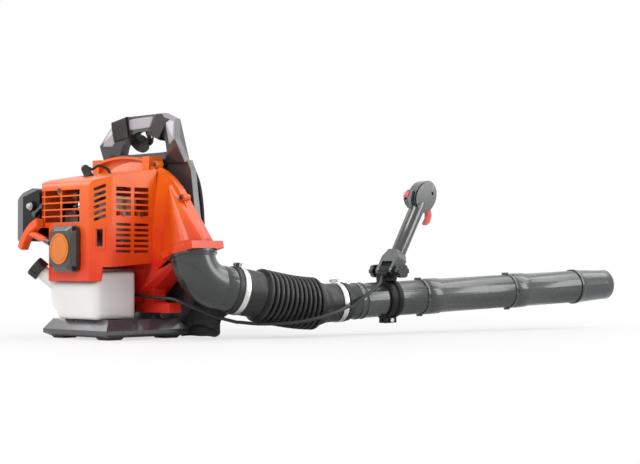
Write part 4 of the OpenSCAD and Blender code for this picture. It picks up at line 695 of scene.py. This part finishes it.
# Painted shade: both orange materials darken to red towards the bottom and run yellower on top by
# height, standing in for how the lamps fall on them.
orange = moulded("orange_nylon", linear(244, 116, 18), 0.32, shift=0.05, grain=1100, depth=0.000006,
                 polish=0.08,
                 coat=0.12, flow=0.0004, low=linear(210, 36, 20), painted_shade_levels=(0.14, 0.37), gloss=0.38)
dress(orange, "fan_housing_rear", "fan_housing_front", edge=0.0010)
shade = moulded("cover_nylon", linear(243, 112, 18), 0.32, shift=0.05, grain=1100, depth=0.000006,
                polish=0.08,
                coat=0.12, flow=0.0004, low=linear(226, 56, 20), painted_shade_levels=(0.12, 0.36), gloss=0.38)
dress(shade, "engine_cover", edge=0.0010)
dark = moulded("glass_filled_nylon", linear(36, 39, 39), 0.28, depth=0.000005, shift=0.07, coat=0.6,
               flow=0.0003)
dress(dark, "intake_grille", "impeller", "starter_reel", edge=0.0004)


def metal(name, colour, rough, scratch=0.00002, stretch=(60, 900, 900), worn=0.12):
    """Bare metal: noise drawn out along one way is the tool's scratches and their change of polish,
    and broad noise is the stain."""
    n = Nodes(name)
    drawn = n.noise(1.0, 4, n.turned(stretch))
    low = tuple(c * (1 - worn) for c in colour[:3]) + (1,)
    return n.set(
        Base_Color=n.mixed(n.ranged(n.noise(30, 5), 0, 1, 0.35, 0.65), low, colour),
        Metallic=1.0,
        Roughness=n.ranged(drawn, rough - 0.07, rough + 0.1),
        Normal=n.bumped(drawn, scratch),
    )


steel = metal("zinc_plated_steel", linear(196, 198, 200), 0.30)
blued = metal("blackened_steel", linear(96, 90, 88), 0.42)
dress(blued, "housing_screws", "cover_screws")
dress(steel, "crankshaft", "connecting_rod", "throttle_lever", "recoil_spring", "pivot_bolt")

# ---- Engine ----
# A small two-stroke: die-cast alloy case and finned cylinder, piston, flywheel with its coil, plug
# under a rubber boot, and a folded steel muffler that has taken a straw heat tint.

cast = metal("die_cast_alloy", linear(188, 190, 192), 0.46, 0.00006, (500, 500, 500), 0.2)
dress(cast, "crankcase", "engine_cylinder", "flywheel", "carburettor", edge=0.0005)
turned = metal("turned_alloy", linear(214, 216, 218), 0.22, 0.00001, (40, 40, 2600), 0.06)
dress(turned, "piston")


def heated(name):
    """Steel that has been hot: broad noise runs it between a straw tint and a duller grey."""
    n = Nodes(name)
    rise = n.ranged(n.noise(18, 5), 0, 1, 0.3, 0.7)
    straw = n.mixed(rise, linear(150, 140, 122), linear(122, 112, 108))
    return n.set(Base_Color=straw, Metallic=1.0, Roughness=n.ranged(n.noise(50, 4), 0.35, 0.6),
                 Normal=n.bumped(n.noise(260, 4), 0.00008))


dress(heated("heated_steel"), "muffler", edge=0.0006)
black = moulded("black_nylon", linear(20, 21, 21), 0.34, shift=0.08, coat=0.25, flow=0.0004)
dress(black, "ignition_coil", edge=0.0005)
matt_black = moulded("matt_black_nylon", linear(14, 15, 15), 0.46, shift=0.08, gloss=0.22)
dress(matt_black, "filter_base", edge=0.0005)
dress(black_rubber, "intake_manifold", "plug_boot")


def glaze(name, colour):
    """Fired white glaze with fine specks, under a clear coat."""
    n = Nodes(name)
    return n.set(Base_Color=n.mixed(n.ranged(n.noise(700, 2), 0, 0.5, 0.6, 0.75), colour,
                                    linear(198, 192, 180)),
                 Roughness=0.12, Coat_Weight=0.6, Normal=n.bumped(n.noise(90, 2), 0.00002))


dress(glaze("plug_glaze", linear(240, 238, 230)), "spark_plug")

# ---- Ignition lead ----
# Rubber-sheathed wire from the coil to the plug's boot, a smooth curve with a faint moulded grain.


def sheathed(name, colour):
    """Extruded sheath: fine lengthwise drag lines in the piece's map, and a slow change of polish."""
    n = Nodes(name, uv=True)
    drag = n.noise(1.0, 3, n.turned((12, 2600, 1)))
    pale = tuple(c * 1.5 for c in colour[:3]) + (1,)
    return n.set(Base_Color=n.mixed(n.ranged(n.noise(26), 0, 1, 0.3, 0.7), colour, pale),
                 Roughness=n.ranged(drag, 0.39, 0.53), Normal=n.bumped(drag, 0.00004))


sheath = sheathed("cable_sheath", linear(28, 28, 29))


def wire(name, points, radius, count=160, sides=20, across=(0.3, 0.5, 0.8)):
    """A round cable through the points; across is carried along by turning it as little as can be."""
    line = route(points, count)
    t = headings(line)
    side = np.zeros_like(line)
    side[0] = np.cross(t[0], across)
    for i in range(len(line)):
        before = side[max(i - 1, 0)]
        side[i] = before - before.dot(t[i]) * t[i]
        side[i] /= np.linalg.norm(side[i])
    a = np.linspace(0, 2 * np.pi, sides, endpoint=False)
    ring = radius * np.stack([np.cos(a), np.sin(a)], 1)
    return skin(name, carried(line, ring, side))


lead = wire("plug_lead", mm((-53.6, -26, 348.3), (-53.2, -20, 349), (-46, -12, 356), (-38, -2, 354),
                            (-31, 6, 344),
                            (-30, 8, 324), (-20, 0, 318), (0, -34, 318), (2, -72, 314), (-4, -91, 296),
                            (-8, -94, 258.5),
                            (-8, -94, 252.6)), 0.0030)
lead.data.materials.append(sheath)
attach(lead, "frame")
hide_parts("ignition_lead")

# ---- Air cleaner ----
# A ribbed nylon cover clamps an oiled foam block on the carburettor's base plate. The choke lever
# comes through its rear, with the soft primer bulb beside it.

dress(moulded("air_cleaner_nylon", linear(104, 104, 108), 0.34, shift=0.06, coat=0.3, flow=0.0004),
      "filter_cover", edge=0.0010)
dress(dark, "choke_lever", edge=0.0004)


def foam(name, colour):
    """Open-cell foam: dark pores of two sizes sunk in a soft matrix."""
    n = Nodes(name)
    pores = n.ranged(n.sum(n.cells(900), n.cells(380), "MULTIPLY"), 0, 1, 0.02, 0.22)
    return n.set(Base_Color=n.mixed(pores, tuple(c * 0.2 for c in colour[:3]) + (1,), colour),
                 Roughness=0.95,
                 Normal=n.bumped(pores, 0.0008))


def block(centre, half):
    """A soft-cornered block: a superquadric, each way a signed power of a sine or cosine, scaled."""
    u = np.linspace(-np.pi / 2, np.pi / 2, 33)[1:-1, None]
    v = np.linspace(0, 2 * np.pi, 64, endpoint=False)[None, :]

    def bend(t):
        return np.sign(t) * np.abs(t) ** 0.25

    round_u = bend(np.cos(u))
    p = np.stack([round_u * bend(np.cos(v)), round_u * bend(np.sin(v)), bend(np.sin(u)) + 0 * v], 2)
    return p * np.asarray(half) + np.asarray(centre)


FOAM_FOLD = 0.012
foam_grid = block(mm(-147, -65, 248.2), mm(19.6, 43.4, 45.5))
foam_grid[..., 2] += 0.25 * (foam_grid[..., 0] + 0.147) * np.clip((foam_grid[..., 2] - 0.2027) / 0.09,
                                                                  0, 1)
folds = 1 - np.cos((foam_grid[..., 1] + 0.102) * 2 * np.pi / FOAM_FOLD)
foam_grid[..., 0] += 0.0016 * folds * (foam_grid[..., 0] < -0.16)
element = skin("air_foam", foam_grid)
element.data.materials.append(foam("oiled_foam", linear(60, 60, 58)))
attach(element, "frame")
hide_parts("filter_element")


def clear_rubber(name):
    """Milky silicone: light goes through it softly, with a slow change of polish."""
    n = Nodes(name)
    return n.set(Base_Color=n.mixed(n.ranged(n.noise(120), 0, 1), linear(226, 226, 220),
                                    linear(240, 240, 236)),
                 Roughness=n.ranged(n.noise(80), 0.3, 0.42), Transmission_Weight=0.3,
                 Subsurface_Weight=0.3,
                 Normal=n.bumped(n.noise(60), 0.0001))


dress(clear_rubber("bulb_silicone"), "primer_bulb")

# ---- Starter ----
# A ribbed nylon housing over the rope reel and its spring, with a plain round plate in its middle.
# The braided rope ends in a T handle.

dress(moulded("starter_nylon", linear(50, 47, 44), 0.28, shift=0.08, coat=0.5, flow=0.0004),
      "starter_cover")
remade("starter_cover", voxel=0.0006, rounds=12)
dress(black, "fuel_cap", edge=0.0006)
dress(moulded("starter_handle_nylon", linear(240, 92, 32), 0.30, shift=0.05, grain=1100, depth=0.000006,
              gloss=0.4),
      "starter_handle", edge=0.0012)
plate = moulded("badge_enamel", linear(226, 122, 30), 0.22, shift=0.08, grain=700, coat=0.3,
                polish=0.06, gloss=0.35)
dress(plate, "starter_badge", edge=0.0004)


def braid(name, colour, tracer):
    """Braided cord: two sets of crossing bands in the piece's map stand as strands, one dark tracer."""
    n = Nodes(name, uv=True)
    left = n.wave(150, n.turned((1, 1, 1), (0, 0, 0.8)))
    right = n.wave(150, n.turned((1, 1, 1), (0, 0, -0.8)))
    knit = n.sum(left, right, "MAXIMUM")
    fleck = n.ranged(n.wave(40, n.turned((1, 1, 1), (0, 0, 0.8))), 0, 1, 0.93, 0.97)
    return n.set(Base_Color=n.mixed(fleck, colour, tracer), Roughness=0.7,
                 Normal=n.bumped(knit, 0.0003), Sheen_Weight=0.2)


rope = wire("starter_cord", mm((-37.3, -125, 190.4), (-50, -125, 194.2), (-66, -125, 199),
                               (-84, -125, 204.4),
                               (-97.3, -125, 208.4), (-110.6, -125, 212.4)), 0.0018, 60, 16, (0, 1, 0))
rope.data.materials.append(braid("nylon_braid", linear(222, 222, 214), linear(40, 40, 42)))
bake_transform(rope)
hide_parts("starter_rope")

# ---- Fuel tank ----
# Blow-moulded natural polyethylene, milky enough to show light through its corners, with a black
# cap, and the fuel hose up to the carburettor.


def milky(name, colour):
    """Natural polyethylene: cloudy noise shifts it between white and grey, light passes under its
    skin, and a soft ripple stands for the blown surface."""
    n = Nodes(name)
    cloud = n.ranged(n.noise(16, 5), 0, 1, 0.35, 0.65)
    ripple = n.bumped(n.noise(22, 2), 0.0003)
    return n.set(Base_Color=n.mixed(cloud, tuple(c * 0.975 for c in colour[:3]) + (1,), colour),
                 Roughness=n.ranged(n.noise(40, 3), 0.28, 0.36), Subsurface_Weight=0.25,
                 Subsurface_Scale=0.015,
                 Subsurface_Radius=(1.0, 1.0, 1.0),
                 Normal=n.bumped(n.noise(1300, 2), 0.00002, over=ripple))


dress(milky("natural_polyethylene", linear(243, 241, 239)), "fuel_tank")
remade("fuel_tank", voxel=0.0016, rounds=26)
hose_line = wire("fuel_pipe", mm((-74, -38, 128), (-74, -38, 142), (-76, -40, 160), (-84, -44, 190),
                                 (-87, -38, 211), (-87, -38, 219)),
                 0.0025, 80, 16)
hose_line.data.materials.append(sheathed("fuel_rubber", linear(40, 38, 30)))
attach(hose_line, "frame")
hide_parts("fuel_line")

# ---- Elbow and hose ----
# The elbow is moulded nylon. The hose is soft black PVC: plain cuffs at both ends under worm-drive
# bands, and rounded ribs between them that let it bend.

dress(dark, "outlet_elbow", edge=0.0006)
HOSE = mm((222.146, 132.469, 97.4838), (226.25, 155.745, 93.3163), (258.281, 350.576, 69.2699),
          (264, 380, 70.5))
HOSE_DIR, TUBE_DIR = np.array([0.17101, 0.969846, -0.173648]), np.array([0.190649, 0.980802, 0.0410037])
HOSE_LEN = 0.253416
# Along the hose from the elbow: its ends, the straight lengths, the arc's pull and the ribs
HOSE_REAR, HOSE_FRONT = -0.018, 0.2755
STRAIGHT_REAR, STRAIGHT_BOTH = 0.024, 0.054
ARC_PULL = 0.0716058
RIBS_LOW, RIB_PITCH, RIBS_HIGH = 0.050, 0.0121180, 0.1954
# Across it: the groove between ribs, a rib's height, and the wall under the groove
GROOVE_R, RIB_RISE = 0.0467, 0.0083
LINING_R, HOSE_WALL = 0.0470, 0.0022


def hose_middle(s):
    """The hose's middle at s along it: straight to 24 mm, a cubic Bezier arc, then straight again."""
    s = np.asarray(s, float)[:, None]
    arc = HOSE_LEN - STRAIGHT_BOTH
    fine = np.linspace(0, 1, 400)[:, None]
    a, d = HOSE[1], HOSE[2]
    b, c = a + ARC_PULL * HOSE_DIR, d - ARC_PULL * TUBE_DIR
    left = 1 - fine
    line = left**3 * a + 3 * fine * left**2 * b + 3 * fine**2 * left * c + fine**3 * d
    t = np.clip((s - STRAIGHT_REAR) / arc, 0, 1)
    bent = np.stack([np.interp(t[:, 0], fine[:, 0], line[:, k]) for k in range(3)], 1)
    rear = HOSE[0] + s * HOSE_DIR
    front = HOSE[3] + (s - HOSE_LEN) * TUBE_DIR
    return np.where(s < STRAIGHT_REAR, rear, np.where(s > STRAIGHT_REAR + arc, front, bent))


def hose_radius(s):
    """Outside radius at s: cuffs, and between 50 and 195 mm twelve ribs, each a flattened sine that
    rises from the groove; the front cuff steps down to the tube's sleeve with a bead."""
    rib = ((s - RIBS_LOW) / RIB_PITCH) % 1
    swell = np.clip(1.25 * np.sin(np.pi * np.clip(rib / 0.86, 0, 1)), 0, 1) ** 0.75
    ribbed = GROOVE_R + RIB_RISE * swell
    front = np.interp(s, [0.1954, 0.1975, 0.2045, 0.2195, 0.2354, 0.2594, 0.2624, 0.2634, 0.2664,
                          0.2674, 0.2755],
                      [0.0467, 0.0476, 0.0467, 0.0415, 0.0405, 0.0405, 0.0405, 0.0421, 0.0421, 0.0405,
                       0.0405])
    rear = np.interp(s, [-0.018, -0.0165, -0.009, 0.046, 0.05],
                     [0.0462, 0.0477, 0.0477, 0.0477, 0.0467])
    return np.where(s < RIBS_LOW, rear, np.where(s < RIBS_HIGH, ribbed, front))


def hose_part(name, low, high, count):
    """The hose from low to high: its radius carried round its middle, with a wall inside it."""
    s = np.linspace(low, high, count)
    line = hose_middle(s)
    r = hose_radius(s)
    a = np.linspace(0, 2 * np.pi, 97)[:-1]
    unit = np.stack([np.cos(a), np.sin(a)], 1)
    outer = carried(line, r[:, None, None] * unit, (1, 0, 0))
    lining = np.minimum(r, LINING_R) - HOSE_WALL
    inner = carried(line, lining[:, None, None] * unit, (1, 0, 0))
    grid = np.concatenate([outer, inner[::-1], outer[:1]], 0)
    return skin(name, grid, ends=False)


hose_rubber = rubber("hose_pvc", linear(30, 31, 32), 0.42, grain=1200, depth=0.00003)
middle_s = RIBS_LOW + RIB_PITCH * 6
rear_hose = hose_part("ribbed_hose_rear", HOSE_REAR, middle_s, 300)
front_hose = hose_part("ribbed_hose_front", middle_s, HOSE_FRONT, 330)
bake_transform(rear_hose)
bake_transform(front_hose)
for part in (rear_hose, front_hose):
    part.data.materials.append(hose_rubber)
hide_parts("flex_hose")
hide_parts("flex_hose")


def band_metal(name):
    """Stamped stainless strip: drawn scratches that shift its tone and polish."""
    n = Nodes(name)
    drawn = n.noise(1.0, 4, n.turned((900, 60, 900)))
    return n.set(Base_Color=n.mixed(n.ranged(drawn, 0, 1), linear(200, 200, 196),
                                    linear(232, 232, 228)), Metallic=1.0,
                 Roughness=n.ranged(drawn, 0.22, 0.40), Normal=n.bumped(drawn, 0.00002))


band_steel = band_metal("band_steel")
dress(band_steel, "hose_clamp_rear", "hose_clamp_front", edge=0.0004)

# ---- Blow tube ----
# Three pipes of grey-black nylon pushed together and turned to lock. Each joint shows a ring with
# its catches, and the last pipe tapers to a plain round mouth.

dress(dark, "swivel_pipe", "straight_pipe", "nozzle_pipe", edge=0.0006)
dress(matt_black, "handle_clamp", edge=0.0010)

# ---- Grip ----
# A hollow nylon pistol grip clamped on the tube by two knobs, with a red trigger and a red stop
# switch at the thumb.

dress(moulded("grip_nylon", linear(42, 45, 44), 0.26, depth=0.000004, shift=0.06, coat=0.9,
              flow=0.0003), "grip_shell", edge=0.0010)
dress(black, "knob_left", "knob_right", edge=0.0012)
red = moulded("red_nylon", linear(226, 62, 44), 0.28, shift=0.06, coat=0.4, polish=0.08)
dress(red, "throttle_trigger", "stop_switch", edge=0.0006)

# ---- Throttle cable ----
# A sheathed cable from the carburettor down the side of the fan, along the base, beside the hose
# under it and up the tube to the grip, in lengths that meet end to end where it passes from one
# body to the next.

CABLE_R = 0.0035

cable_one = wire("throttle_sheath", mm((-89, -10, 267), (-89, -4, 267), (-90, 6, 258), (-91, 8, 230),
                                       (-91, 8, 190), (-91, 8, 150), (-86, 8, 108),
                                       (-70, 8, 92), (-30, 8, 88), (20, 8, 88), (60, 12, 88),
                                       (110, 18, 84), (150, 32, 80),
                                       (178, 60, 64), (200, 98, 46), (219, 134.8, 34.6),
                                       (222, 140, 34)), CABLE_R, 300)
cable_one.data.materials.append(sheath)
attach(cable_one, "frame")
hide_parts("throttle_cable")
along_hose = route(mm((222, 140, 34), (225, 145.2, 33.4), (248, 178, 30), (284, 230, 32),
                      (304, 280, 40), (314, 330, 52),
                      (312, 365, 62.3), (313.14, 370.78, 62.51)), 300)
for name, low, high, bodies, ends in (
    ("hose_sheath_rear", 0, 151, ("frame", "hose"), (20, 120)),
    ("hose_sheath_front", 149, 300, ("hose", "tube"), (180, 285)),
):
    part = wire(name, along_hose[low:high], CABLE_R, 120)
    part.data.materials.append(sheath)
    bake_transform(part)
    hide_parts("hose_cable")
cable_three = wire("grip_sheath", mm((313.14, 370.78, 62.51), (314.3, 376.7, 62.8),
                                     (318.75, 399.6, 77.7), (321.4, 429, 94.9),
                                     (317.8, 457.6, 110.1), (305.3, 477, 118.8), (297.5, 488, 123.1),
                                     (296.3, 493.9, 123.4)), CABLE_R, 160)
cable_three.data.materials.append(sheath)
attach(cable_three, "tube")
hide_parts("handle_cable")
